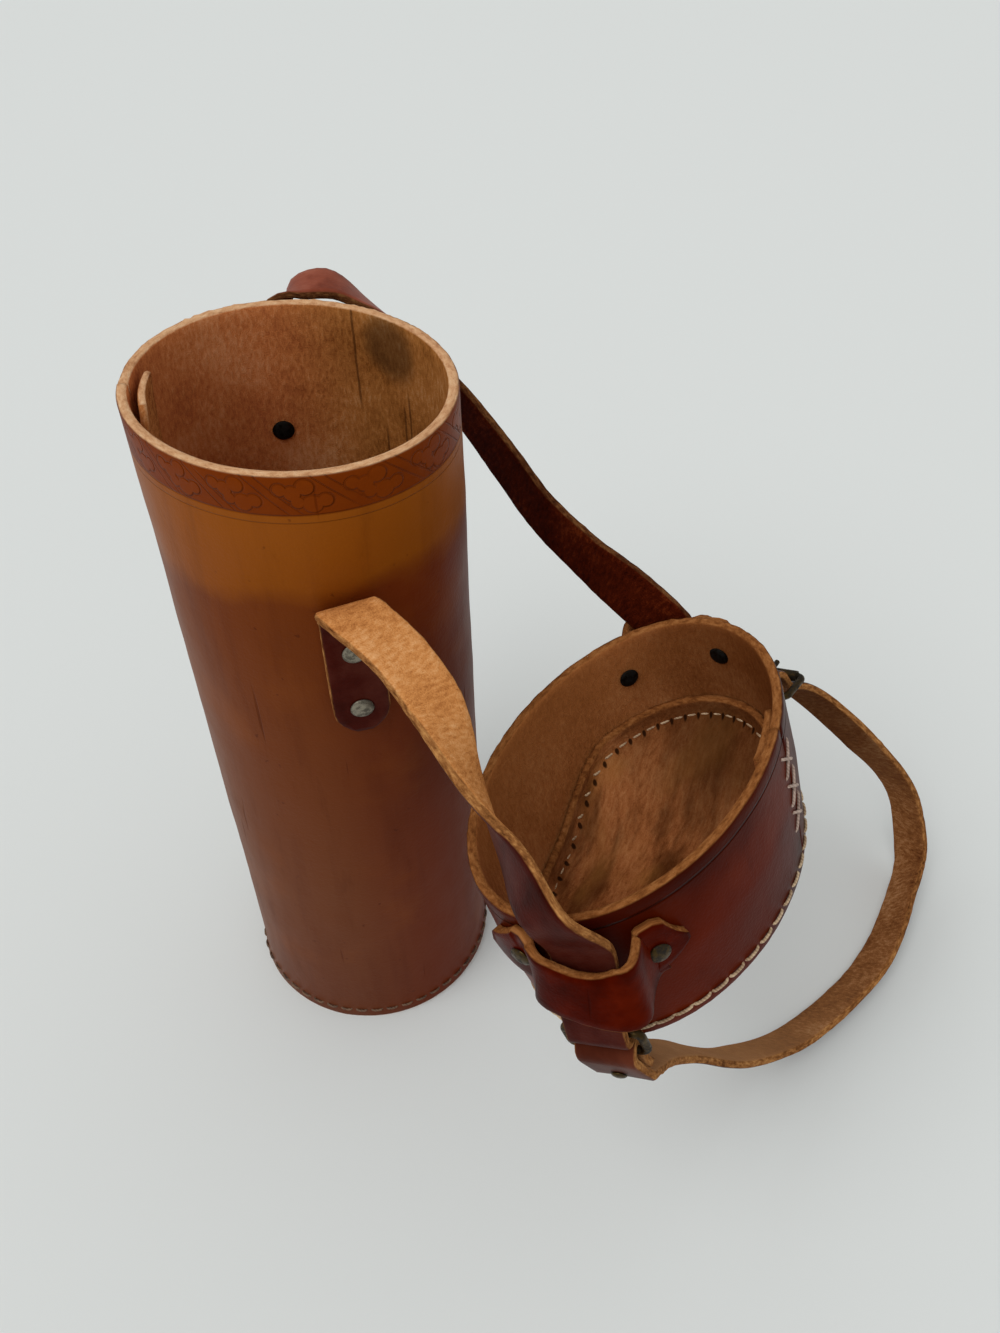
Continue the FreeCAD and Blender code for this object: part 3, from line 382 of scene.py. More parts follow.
def tube_stains(base, flat, tone):
    """The wall's inside: redder on the left, olive on the right, a dark patch by the rim and a few cracks."""
    height = axis(flat, 1)
    along = axis(flat, 0)
    wander = (speckle(flat, 0.020, 3.0, 0.5, shift=4.2) - 0.5) * 0.010
    left = ease(base.sum("COSINE", along / TUBE_RADIUS - 2.6) + wander * 30, 0.0, 0.9)
    tone = between(left * 0.45, tone, "c0683e")
    right = ease(base.sum("COSINE", along / TUBE_RADIUS - 0.55) + wander * 30, 0.2, 0.9)
    tone = between(right * 0.45, tone, "7e561f")
    aside = (along - PATCH[0]) / PATCH_SIZE
    above = (height + wander - PATCH[1]) / PATCH_SIZE
    patch = 1 - ease(aside * aside + above * above, 0.3, 1.5)
    tone = between(patch * 0.62, tone, "2e2014")
    for place, low, high in CRACKS:
        line = abs(along + wander * 0.18 - place)
        reach = ease(height, low - 0.004, low + 0.004) * (1 - ease(height, high - 0.004, high + 0.004))
        tone = between((1 - ease(line, 0.0002, 0.0008)) * reach * 0.62, tone, "33190b")
    return tone


TUBE_FLESH = ("743a1c", "c07c44", "e6b07c")
PALE_EDGE = ("ac7852", "ce9e74", "deb890")
tube_leather = leather("tube_leather", tube_grain, TUBE_FLESH, PALE_EDGE, tube_tooling, stains_and_painted_light=tube_stains)
half_gap = BUTT_GAP / TUBE_RADIUS
bm = rolled(wall_profile(TUBE_WALL, 0.0, TUBE_HEIGHT, 72), half_gap - math.pi, 2 * (math.pi - half_gap), 192,
            on_tube, TUBE_RADIUS, RAGGED)
finished("tube_wall_leather", bm, tube_leather, "tube", "tube_wall")


# Base of the tube. A disc of the same leather, grain side down. Its rim is turned up inside the wall,
# where it is sewn right round.
BASE_THICKNESS = 0.004
BASE_FLANGE = 0.012
FLANGE_WALL = 0.003
SEWN_GAP = 0.00015
CUP_DENT = (0.0004, 40)


def cup_profile(inset, thickness, flange, fold, radius):
    """A disc with a turned-up rim: an open section from the middle of its underside to that of its top."""
    outer = radius - inset
    inner = outer - fold
    low = [(share * inner + fold * 0.05, 0.0, 1.0) for share in (0.01, 0.2, 0.4, 0.6, 0.8, 1.0)]
    bend = [(outer - fold * (1 - math.sin(a)), fold * (1 - math.cos(a)), 1.0) for a in (0.5, 1.0, 1.5)]
    up = [(outer, flange * share, 1.0) for share in (0.6, 0.85)]
    lip = [(outer - 0.0006, flange, 0.0), (inner + 0.0006, flange, 0.0)]
    down = [(inner, flange * share, -1.0) for share in (0.85, 0.6)]
    corner = [(inner - 0.0012, thickness + 0.0012, -1.0), (inner - 0.003, thickness, -1.0)]
    top = [(share * inner, thickness, -1.0) for share in (0.8, 0.6, 0.4, 0.2, 0.01)]
    return low + bend + up + lip + down + corner + top


def turned(profile, steps, place):
    """Spins an open section right round and closes the two small holes on the axis."""
    bm, flat, face = sheet()
    line = []
    for radius, height, side in profile:
        vert = bm.verts.new((radius, 0, height))
        vert[face] = side
        line.append(vert)
    edges = [bm.edges.new(pair) for pair in zip(line, line[1:])]
    bmesh.ops.spin(bm, geom=line + edges, cent=(0, 0, 0), axis=(0, 0, 1), angle=2 * math.pi, steps=steps,
                   use_merge=True)
    bmesh.ops.remove_doubles(bm, verts=bm.verts[:], dist=0.000002)
    shut(bm)
    for vert in bm.verts:
        vert[flat] = vert.co.copy()
        soft = Vector((0, 0, uneven(vert.co, *CUP_DENT)))
        vert.co = place(vert.co + soft if vert[face] < 0 else vert.co)
    return bm


def plain_grain(dark, mid, light, size=0.022):
    """A grain side that drifts between three shades."""
    def tone(base, flat):
        cloud = speckle(flat, size, 4.0, 0.58, shift=1.1)
        return ramp(cloud, (0.34, 0.50, 0.68), (dark, mid, light))
    return tone


base_leather = leather("base_leather", plain_grain("3c1c10", "52291a", "643621"), TUBE_FLESH, PALE_EDGE)
section = cup_profile(TUBE_WALL + SEWN_GAP, BASE_THICKNESS, BASE_FLANGE, FLANGE_WALL, TUBE_RADIUS)
bm = turned(section, 96, lambda spot: spot)
finished("tube_base_leather", bm, base_leather, "tube", "tube_base")


# Base stitching. Waxed thread that runs round the foot of the wall in short straight stitches,
# through the wall and the turned-up rim of the base.
STITCH_PITCH = 0.0068
STITCH_LENGTH = 0.0046
STITCH_RISE = 0.005
STITCH_LIFT = 0.0006
THREAD_RADIUS = 0.0005


def drawn(lines, order, fineness, radius=0.0):
    """Smooth curves that points pull, clamped at both ends: bare lines, or threads of a radius."""
    curve = bpy.data.curves.new("drawn", "CURVE")
    curve.dimensions = "3D"
    curve.bevel_depth = radius
    curve.bevel_resolution = 2
    curve.resolution_u = fineness
    curve.use_fill_caps = True
    for points in lines:
        spline = curve.splines.new("NURBS")
        spline.points.add(len(points) - 1)
        for spot, point in zip(spline.points, points):
            spot.co = (*point, 1)
        spline.order_u = order
        spline.use_endpoint_u = True
    holder = placed("drawn", curve)
    mesh = bpy.data.meshes.new_from_object(holder.evaluated_get(bpy.context.evaluated_depsgraph_get()))
    bpy.data.objects.remove(holder)
    bpy.data.curves.remove(curve)
    bm = bmesh.new()
    bm.from_mesh(mesh)
    bpy.data.meshes.remove(mesh)
    return bm


def threads(name, runs, radius, material, body, node):
    """Short lengths of thread, each along its own few points, made as one piece."""
    finished(name, drawn(runs, 3, 3, radius), material, body, node)


def thread_finish(name, dark, light):
    """Waxed thread: fine twisted strands, a little dirt."""
    material, shader, base = blank(name)
    spot = base.made("TexCoord", "Object")
    twist = base.made("TexWave", 1, wave_type="BANDS", bands_direction="DIAGONAL",
                      put={"Vector": spot, "Scale": 380.0, "Distortion": 2.0, "Detail": 1.0})
    dirt = speckle(spot, 0.004, 3.0, 0.6)
    share = twist * 0.45 + ease(dirt, 0.35, 0.65) * 0.55
    between(share, dark, light).to(shader, "Base Color")
    shader.inputs["Roughness"].default_value = 0.62
    relief(shader, twist * 0.00012)
    return material


def stitch(place, turn, height, half, lift):
    """One stitch on a wall: it comes out of the leather, lies on it and goes back in."""
    marks = ((-1.0, -0.7), (-0.92, 0.55), (-0.5, 1.0), (0.0, 1.05), (0.5, 1.0), (0.92, 0.55), (1.0, -0.7))
    return [place(turn + half * way, height, lift * out) for way, out in marks]


base_thread = thread_finish("base_thread", "3c2416", "7a5a40")
count = round(2 * math.pi * TUBE_RADIUS / STITCH_PITCH)
half = STITCH_LENGTH / 2 / TUBE_RADIUS
runs = [stitch(on_tube, -math.pi + 2 * math.pi * (index + 0.5) / count, STITCH_RISE, half, STITCH_LIFT)
        for index in range(count)]
threads("tube_base_thread", runs, THREAD_RADIUS, base_thread, "tube", "tube_base_stitching")


# Seam backing of the tube. A strip of the same leather, glued behind the butt seam with its flesh side in.
# Its top has come away from the wall a little.
BACKING_WIDTH = 0.022
BACKING_SHORT = 0.002
BACKING_THICKNESS = 0.0025
LOOSE_FROM = 0.262
LOOSE_LENGTH = 0.031
LOOSE_GAP = 0.0022


def lifted(turn, height, depth):
    free = max(0.0, (height - LOOSE_FROM) / LOOSE_LENGTH)
    return on_tube(turn, height, depth - TUBE_WALL - SEWN_GAP - LOOSE_GAP * free * free)


def backing(low, high, rows):
    """The section of a backing strip, with the flesh side on both faces."""
    section = wall_profile(BACKING_THICKNESS, low, high, rows, 0.0006)
    return [(depth, height, -1.0 if side > 0 else side) for depth, height, side in section]


backing_leather = leather("backing_leather", plain_grain("5a331c", "7a4a2a", "946038"), TUBE_FLESH, PALE_EDGE)
half = BACKING_WIDTH / 2 / TUBE_RADIUS
section = backing(BASE_FLANGE + BACKING_SHORT, TUBE_HEIGHT - BACKING_SHORT, 40)
bm = rolled(section, math.pi - half, 2 * half, 12, lifted, TUBE_RADIUS, 0.0003)
finished("tube_backing_leather", bm, backing_leather, "tube", "tube_seam_backing")


# Seam lacing of the tube. Pale thread crossed over the butt seam, pair by pair, through holes in the wall
# and the strip behind it.
LACE_REACH = 0.0045
LACE_RISE = 0.009
LACE_PITCH = 0.022
LACE_PAIRS = 13


def crossed(place, turn, girth, low, rise):
    """Two threads that cross over a seam between two levels, the second over the first."""
    reach = LACE_REACH / girth
    first = [(-1.05, 0.0, -0.0006), (-1.0, 0.0, 0.0003), (-0.4, 0.3, 0.0004), (0.4, 0.7, 0.0004),
             (1.0, 1.0, 0.0003), (1.05, 1.0, -0.0006)]
    second = [(-1.05, 1.0, -0.0006), (-1.0, 1.0, 0.0003), (-0.35, 0.68, 0.0008), (0.0, 0.5, 0.0011),
              (0.35, 0.32, 0.0008), (1.0, 0.0, 0.0003), (1.05, 0.0, -0.0006)]
    return [[place(turn + reach * way, low + rise * up, out) for way, up, out in line]
            for line in (first, second)]


lace_thread = thread_finish("lace_thread", "8c7264", "c8b0a0")
runs = []
for index in range(LACE_PAIRS):
    runs += crossed(on_tube, math.pi, TUBE_RADIUS, LACE_RISE + LACE_PITCH * index, LACE_RISE)
threads("tube_lace", runs, THREAD_RADIUS * 0.8, lace_thread, "tube", "tube_seam_lacing")


# Cap wall. An oval band of darker leather with a polished grain side, butted and laced at its right end.
# It hangs mouth up beside the tube, and a line is drawn round it below the rim.
CAP_LONG = 0.0658
CAP_SHORT = 0.0449
CAP_DEPTH = 0.062
CAP_WALL = 0.0034
CAP_SEAM = math.radians(18.7)
CAP_GIRTH = 0.0556
CAP_TAPER, TAPER_FROM, TAPER_LENGTH = 0.045, 0.030, 0.032
RIM_LINE = 0.0052
CAP_PLACE = Matrix(((0.806264, 0.517204, -0.287122, 0.1005), (-0.511763, 0.853289, 0.0999863, -0.0805),
                    (0.296711, 0.0663228, 0.952661, 0.209), (0, 0, 0, 1)))


def cap_share(height):
    """The cap draws in a little towards its crown."""
    return 1 - CAP_TAPER * min(1.0, max(0.0, (-height - TAPER_FROM) / TAPER_LENGTH))


def on_cap(turn, height, depth):
    share = cap_share(height)
    return CAP_PLACE @ Vector(((CAP_SHORT * share + depth) * math.cos(turn),
                               (CAP_LONG * share + depth) * math.sin(turn), height))


def cap_grain(base, flat):
    height = axis(flat, 1)
    along = axis(flat, 0)
    cloud = speckle(flat, 0.034, 3.0, 0.5, shift=0.9)
    tone = ramp(cloud, (0.30, 0.50, 0.70), ("340a00", "4a1000", "601c00"))
    # Painted highlight: the lower front is lightened to stand in for a warm reflection of the light.
    front = ease(base.sum("COSINE", along / CAP_GIRTH + 0.95), 0.2, 0.95) * (1 - ease(height, -0.030, -0.006))
    tone = between(front * 0.55, tone, "641c04")
    tone = between(ease(height, -0.014, -0.002) * 0.55, tone, "2e0d08")
    line = abs(height + RIM_LINE)
    return between((1 - ease(line, 0.0001, 0.0006)) * 0.6, tone, "1c0704")


def cap_tooling(base, flat):
    line = abs(axis(flat, 1) + RIM_LINE)
    return (1 - ease(line, 0.0001, 0.0007)) * -0.0005


def cap_inside_tone_light_and_shade(base, flat, tone):
    """The wall's inside: redder towards the rim, painted light on the left and painted shade at the far end.
    """
    height = axis(flat, 1)
    along = axis(flat, 0)
    wander = (speckle(flat, 0.018, 3.0, 0.5, shift=3.3) - 0.5) * 0.5
    tone = between(ease(height + wander * 0.03, -0.030, -0.004) * 0.40, tone, "8a4c26")
    # Painted light: the left inner wall is paled where the light falls on it.
    left = ease(base.sum("COSINE", along / CAP_GIRTH - 3.0) + wander, 0.3, 1.0)
    tone = between(left * 0.35, tone, "b4743c")
    # Painted shade: the far inner wall is darkened where it lies in shade.
    far = ease(base.sum("COSINE", along / CAP_GIRTH - 1.2) + wander, 0.3, 1.0)
    return between(far * 0.55, tone, "58300f")


CAP_FLESH = ("76401e", "a06238", "bc8050")
CAP_EDGE = ("5e3418", "86522a", "a26c3e")
CAP_SHINE = 0.34
CAP_GLOSS = 0.035
cap_leather = leather("cap_leather", cap_grain, CAP_FLESH, CAP_EDGE, cap_tooling, CAP_SHINE, CAP_GLOSS,
                      cap_inside_tone_light_and_shade)
half_gap = BUTT_GAP / CAP_GIRTH
bm = rolled(wall_profile(CAP_WALL, -CAP_DEPTH, 0.0, 28), CAP_SEAM + half_gap, 2 * (math.pi - half_gap), 176,
            on_cap, CAP_GIRTH, 0.0005)
finished("cap_wall_leather", bm, cap_leather, "cap", "cap_wall")


# Crown of the cap. An oval of leather with its rim turned up inside the wall and sewn right round.
# At the far end the rim was drawn up higher, so that the floor is dished.
CROWN_THICKNESS = 0.0034
CROWN_FLANGE = 0.011
FLOOR_INSET = 0.008
FAR_RISE = 0.018
RISE_STARTS, RISE_ENDS = (25, 70), (146, 188)
DISHED = (0.012, 0.046)
UNDERSIDE = 0.0029
STITCHES = round(math.pi * (CAP_LONG + CAP_SHORT) / STITCH_PITCH)


def eased(value, low, high):
    share = min(1.0, max(0.0, (value - low) / (high - low)))
    return share * share * (3 - 2 * share)


def crown_rise(turn):
    """How much higher the crown's turned-up rim stands at the cap's far end."""
    angle = math.degrees(turn) % 360
    return FAR_RISE * eased(angle, *RISE_STARTS) * (1 - eased(angle, *RISE_ENDS))


def in_crown(spot):
    """Takes a place on a round crown as wide as the tube to its place in the oval cap."""
    radius = math.hypot(spot.x, spot.y)
    turn = math.atan2(spot.y, spot.x)
    height = spot.z - CAP_DEPTH
    if spot.z > UNDERSIDE:
        height += crown_rise(turn) * eased(radius, *DISHED)
    inner = radius / (TUBE_RADIUS - FLOOR_INSET)
    if inner >= 1:
        return on_cap(turn, height, radius - TUBE_RADIUS)
    share = cap_share(height)
    short_axis, long_axis = [(half * share - FLOOR_INSET) * inner for half in (CAP_SHORT, CAP_LONG)]
    return CAP_PLACE @ Vector((short_axis * math.cos(turn), long_axis * math.sin(turn), height))


def crown_stains(base, flat, tone):
    """Dark swirls over the crown's inside, a rubbed place, shade at the far end and dark stitch holes."""
    swirl = speckle(flat, 0.024, 4.0, 0.65, (1.0, 0.5, 1.0), shift=2.2)
    tone = between(ease(swirl, 0.48, 0.66) * 0.65, tone, "3c1c08")
    rubbed = ease(speckle(flat, 0.030, 2.0, 0.5, shift=5.0), 0.52, 0.68)
    tone = between(rubbed * 0.35, tone, "a87238")
    across = axis(flat, 0)
    along = axis(flat, 1)
    shade = ease(across * 0.35 + along * 0.9 + (swirl - 0.5) * 0.06, -0.004, 0.030)
    tone = between(shade * 0.72, tone, "341806")
    turn = base.sum("ARCTAN2", along, across)
    share = base.sum("FRACT", (turn - CAP_SEAM) / (2 * math.pi) * STITCHES + STITCHES)
    aside = (0.5 - abs(share - 0.5)) * STITCH_PITCH
    above = axis(flat, 2) - STITCH_RISE
    hole = 1 - ease(base.sum("SQRT", aside * aside + above * above), 0.0006, 0.0011)
    return between(hole * 0.9, tone, "1a0c05")


crown_leather = leather("crown_leather", plain_grain("2e0d06", "451408", "571d0a"), CAP_FLESH, CAP_EDGE,
                        stains_and_painted_light=crown_stains)
section = cup_profile(CAP_WALL + SEWN_GAP, CROWN_THICKNESS, CROWN_FLANGE, FLANGE_WALL, TUBE_RADIUS)
bm = turned(section, 112, in_crown)
finished("cap_crown_leather", bm, crown_leather, "cap", "cap_crown")


# Crown stitching. Pale thread through the wall and the turned-up rim, seen on both faces.
# The stitches are longer outside than inside.
OUTER_STITCH = 0.0062
CROWN_LIFT = 0.0005
crown_thread = thread_finish("crown_thread", "8a6a4a", "d4ba96")


def in_cap(turn, height, depth):
    return on_cap(turn, height, -(CAP_WALL + SEWN_GAP + FLANGE_WALL) - depth)


runs = []
for index in range(STITCHES):
    turn = CAP_SEAM + 2 * math.pi * (index + 0.5) / STITCHES
    girth = math.hypot(CAP_SHORT * math.sin(turn), CAP_LONG * math.cos(turn))
    for place, length, rise in ((on_cap, OUTER_STITCH, 0.0), (in_cap, STITCH_LENGTH, crown_rise(turn))):
        runs.append(stitch(place, turn, STITCH_RISE - CAP_DEPTH + rise, length / 2 / girth, CROWN_LIFT))
threads("cap_crown_thread", runs, THREAD_RADIUS, crown_thread, "cap", "cap_crown_stitching")


# Seam backing of the cap. A leather strip behind the laced seam, from the turned-up rim of the crown
# to just short of the cap's mouth.
SEAM_GIRTH = 0.0628


def behind_cap(turn, height, depth):
    return on_cap(turn, height, depth - CAP_WALL - SEWN_GAP)


half = BACKING_WIDTH / 2 / SEAM_GIRTH
section = backing(CROWN_FLANGE + BACKING_SHORT - CAP_DEPTH, -BACKING_SHORT, 12)
bm = rolled(section, CAP_SEAM - half, 2 * half, 14, behind_cap, SEAM_GIRTH, RAGGED)
finished("cap_backing_leather", bm, crown_leather, "cap", "cap_seam_backing")


# Seam lacing of the cap. The same pale thread as on the tube, crossed over the seam down the outside
# in three closer pairs.
CAP_LACE_TOP = 0.018
CAP_LACE_PITCH = 0.012
runs = []
for index in range(3):
    runs += crossed(on_cap, CAP_SEAM, SEAM_GIRTH, -CAP_LACE_TOP - CAP_LACE_PITCH * index, LACE_RISE)
threads("cap_lace", runs, THREAD_RADIUS, lace_thread, "cap", "cap_seam_lacing")


# Side straps. Two straps of thick leather, riveted to the tube with their grain side out, so that the napped
# flesh side shows where they arch over. They twist, run through the cap's keepers and fold round the upper
# bars of the rings.
STRAP_WIDTH = 0.019
STRAP_THICKNESS = 0.0032
WIRE_RADIUS = 0.0014
RING_GAP = 0.0013
FOLD_TAIL = 0.0138
FOLD_TAPER = 0.008
STRAP_RAGGED, STRAP_FIBRES = 0.0005, 700
STRAP_DENT = (0.00025, 60)
MM = 0.001
SECTION = ([(x, 1.0, 1.0) for x in (-0.90, -0.68, -0.34, 0.0, 0.34, 0.68, 0.90)]
           + [(0.975, 0.74, 0.45), (1.0, 0.28, 0.0), (1.0, -0.28, 0.0), (0.975, -0.74, -0.45)]
           + [(x, -1.0, -1.0) for x in (0.90, 0.68, 0.34, 0.0, -0.34, -0.68, -0.90)]
           + [(-0.975, -0.74, -0.45), (-1.0, -0.28, 0.0), (-1.0, 0.28, 0.0), (-0.975, 0.74, 0.45)])


def strap(stations, thickness=STRAP_THICKNESS, closed=False, grain=1):
    """A leather strap through stations of (middle, direction across, width). grain is its side, 1 or -1."""
    bm, flat, face = sheet()
    last = len(stations) - 1
    ring = [bm.verts.new((0, 0, 0)) for spot in SECTION]
    edges = [bm.edges.new(pair) for pair in zip(ring, ring[1:] + ring[:1])]
    first_edges = edges
    gone = 0.0
    for index, (middle, across, width) in enumerate(stations):
        if index:
            made = bmesh.ops.extrude_edge_only(bm, edges=edges)["geom"]
            edges = [item for item in made if isinstance(item, bmesh.types.BMEdge)]
            fresh = [item for item in made if isinstance(item, bmesh.types.BMVert)]
            links = {edge.other_vert(vert): vert for vert in fresh for edge in vert.link_edges
                     if edge.other_vert(vert) in ring}
            ring = [links[vert] for vert in ring]
            gone += (middle - stations[index - 1][0]).length
        ahead = stations[(index + 1) % (last + 1) if closed else min(index + 1, last)][0]
        behind = stations[index - 1 if closed else max(index - 1, 0)][0]
        along = (ahead - behind).normalized()
        side = (across - along * across.dot(along)).normalized()
        out = along.cross(side)
        for vert, (x, t, mark) in zip(ring, SECTION):
            spot = Vector((gone, x * width / 2, t * thickness / 2))
            ragged = uneven(spot, STRAP_RAGGED * (1 - abs(mark)), STRAP_FIBRES)
            soft = uneven(spot, *STRAP_DENT)
            vert.co = middle + side * (spot.y + ragged * (1 if x > 0 else -1)) + out * (spot.z + soft)
            vert[flat] = spot
            vert[face] = mark * grain
    if closed:
        bmesh.ops.bridge_loops(bm, edges=first_edges + edges)
    else:
        shut(bm)
    return bm


def glide(knots, steps, leave=None, arrive=None):
    """Smooth stations through knots of (middle in millimetres, direction across)."""
    spots = [Vector(knot[0]) * MM for knot in knots]
    turns = [Vector(knot[1]).normalized() for knot in knots]
    marks = [0.0]
    for first, second in zip(spots, spots[1:]):
        marks.append(marks[-1] + (second - first).length)
    ways = []
    for index in range(len(spots)):
        if 0 < index < len(spots) - 1:
            near = marks[index] - marks[index - 1]
            far = marks[index + 1] - marks[index]
            before = (spots[index] - spots[index - 1]) * (far / near)
            after = (spots[index + 1] - spots[index]) * (near / far)
            ways.append((before + after) / (near + far))
        else:
            edge = (spots[1] - spots[0]) if index == 0 else (spots[-1] - spots[-2])
            ways.append(edge.normalized())
    if leave:
        ways[0] = Vector(leave).normalized()
    if arrive:
        ways[-1] = Vector(arrive).normalized()
    stations = []
    for step in range(steps + 1):
        value = marks[-1] * step / steps
        span = max(index for index, mark in enumerate(marks[:-1]) if mark <= value + 1e-9)
        length = marks[span + 1] - marks[span]
        s = (value - marks[span]) / length
        middle = spots[span] * (2 * s ** 3 - 3 * s ** 2 + 1)
        middle += ways[span] * (length * (s ** 3 - 2 * s ** 2 + s))
        middle += spots[span + 1] * (3 * s ** 2 - 2 * s ** 3)
        middle += ways[span + 1] * (length * (s ** 3 - s ** 2))
        stations.append((middle, turns[span].lerp(turns[span + 1], s), STRAP_WIDTH))
    return stations


def fold(bar, radius, across, inward, side, gap=0.0004):
    """Stations of a strap end folded round a bar, from the strap to the tip of the folded-back layer."""
    bar, across, inward, side = Vector(bar) * MM, Vector(across), Vector(inward), Vector(side)
    bend = radius + gap + STRAP_THICKNESS / 2
    level = STRAP_THICKNESS + 0.0002 - bend
    close = math.asin(bend / math.hypot(FOLD_TAPER, level)) - math.atan2(level, FOLD_TAPER)
    middles = [bar - side * bend - inward * (FOLD_TAIL + 0.001), bar - side * bend - inward * FOLD_TAPER]
    for step in range(15):
        turn = (math.pi + close) * step / 14
        middles.append(bar - side * (bend * math.cos(turn)) + inward * (bend * math.sin(turn)))
    middles += [bar - inward * FOLD_TAPER + side * level, bar - inward * (FOLD_TAIL - 0.003) + side * level,
                bar - inward * FOLD_TAIL + side * level]
    return [(middle, across, STRAP_WIDTH) for middle in middles]


def tab(foot, top, across, tip):
    """The riveted end: a blunt point below, straight above. Heights are in millimetres."""
    rows = ((0.0, 0.30), (1.2, 0.52), (3.5, 0.78), (6.0, 0.93), (9.0, 1.0))
    stations = [(Vector((*foot, tip + rise)) * MM, Vector(across), STRAP_WIDTH * share)
                for rise, share in rows]
    for step in range(1, 6):
        height = tip + 9 + (top - tip - 9) * step / 5
        stations.append((Vector((*foot, height)) * MM, Vector(across), STRAP_WIDTH))
    return stations


UPWARDS = (0, 0, 1)


def side_strap(name, material, foot, tab_across, levels, knots, end, steps, node):
    """A side strap: its riveted tab between two levels, its run over the knots and its folded end."""
    tip, top = levels
    bar, across, along, side = end
    folded = fold(bar, WIRE_RADIUS, across, along, side)
    way = [((*foot, top), tab_across)] + knots + [(tuple(folded[0][0] * 1000), across)]
    run = glide(way, steps, UPWARDS, along)
    bm = strap(tab(foot, top, tab_across, tip)[:-1] + run + folded[1:], grain=-1)
    return finished(name, bm, material, None, node)


STRAP_FLESH = ("98592a", "cc884c", "e6ac74")
STRAP_EDGE = ("4c2a14", "8e5c32", "be8850")
front_leather = leather("front_strap_leather", plain_grain("2e0803", "42120a", "54261c"), STRAP_FLESH,
                        STRAP_EDGE)
FRONT_FOLD = ((89.3, -151.0, 168.3), (-0.900, 0.313, -0.304), (0.218, -0.280, -0.935), (0.377, 0.908, -0.184))
FRONT_RUN = [((18.7, -60.6, 252.6), (0.905, 0.422, 0.050)), ((25.4, -67.2, 251.9), (0.872, 0.487, -0.051)),
             ((32.4, -74.3, 249.6), (0.841, 0.527, -0.122)), ((43.4, -88.1, 242.4), (0.750, 0.630, -0.200)),
             ((51.9, -105.4, 232.2), (0.356, 0.661, -0.661)),
             ((62.0, -121.2, 220.3), (-0.153, 0.560, -0.814)),
             ((73.0, -145.0, 215.5), (-0.600, 0.420, -0.680)),
             ((83.2, -145.6, 201.2), (-0.937, 0.178, -0.301))]
front_strap = side_strap("front_side_strap_leather", front_leather, (16.7, -52.0), (0.974, 0.228, 0.0),
                         (193.0, 242.0), FRONT_RUN, FRONT_FOLD, 72, "front_side_strap")
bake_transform(front_strap)

# The back strap's colours are a lit and shaded copy of the strap leather: a paler grain side as painted
# sheen, a darker flesh side and darker edges as painted shade.
back_leather = leather("back_strap_leather", plain_grain("662c1c", "8a4632", "a25e48"),
                       ("240703", "441406", "6c2e14"), ("2e160a", "54301a", "7e5430"))
BACK_FOLD = ((136.0, -16.5, 168.0), (0.794, -0.532, 0.295), (0.405, 0.101, -0.909), (-0.454, -0.841, -0.295))
BACK_RUN = [((-13.8, 58.0, 279.5), (-0.751, -0.661, 0.0)), ((-5.3, 65.0, 291.0), (-0.254, -0.967, 0.0)),
            ((5.1, 67.5, 292.0), (0.0, -0.999, 0.050)), ((18.3, 67.6, 283.6), (0.080, -0.921, 0.381)),
            ((50.9, 58.8, 247.2), (0.220, -0.400, 0.890)), ((65.3, 44.7, 233.0), (0.269, -0.219, 0.938)),
            ((79.4, 24.6, 222.7), (0.281, -0.221, 0.934)), ((96.8, 4.6, 215.1), (0.402, -0.201, 0.894)),
            ((112.1, -11.0, 209.8), (0.720, -0.140, 0.680)), ((122.4, -16.9, 201.6), (0.937, -0.178, 0.301))]
back_strap = side_strap("back_side_strap_leather", back_leather, (-14.8, 52.4), (-0.983, -0.186, 0.0),
                        (210.0, 262.0), BACK_RUN, BACK_FOLD, 92, "back_side_strap")
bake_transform(back_strap)


# Rivets. Domed metal caps pressed on a post through the layers. The pair on each tab is worn nickel,
# those on the cap and the folds are antiqued brass, and the inner heads have gone black. The rings and the
# buckle are of the same brass.
RIVET_POST = 0.0015
RIVET_DOME = 0.0012
HEAD_LIFT, FOOT_DROP = 0.00025, 0.0005
TAB_HEAD, KEEPER_HEAD, FOLD_HEAD = 0.004, 0.0035, 0.0026


def metal(name, bright, dark, rough, patina):
    """Metal that has dulled in patches."""
    material, shader, base = blank(name)
    spot = base.made("TexCoord", "Object")
    wear = speckle(spot, 0.0016, 5.0, 0.7)
    dull = ease(wear + speckle(spot, 0.006, 2.0, 0.5) * 0.4 - 0.2, 0.42, 0.62)
    between(dull * patina, bright, dark).to(shader, "Base Color")
    (dull * 0.35 + rough).to(shader, "Roughness")
    (1 - dull * (patina * 0.55)).to(shader, "Metallic")
    relief(shader, wear * 0.00012)
    return material


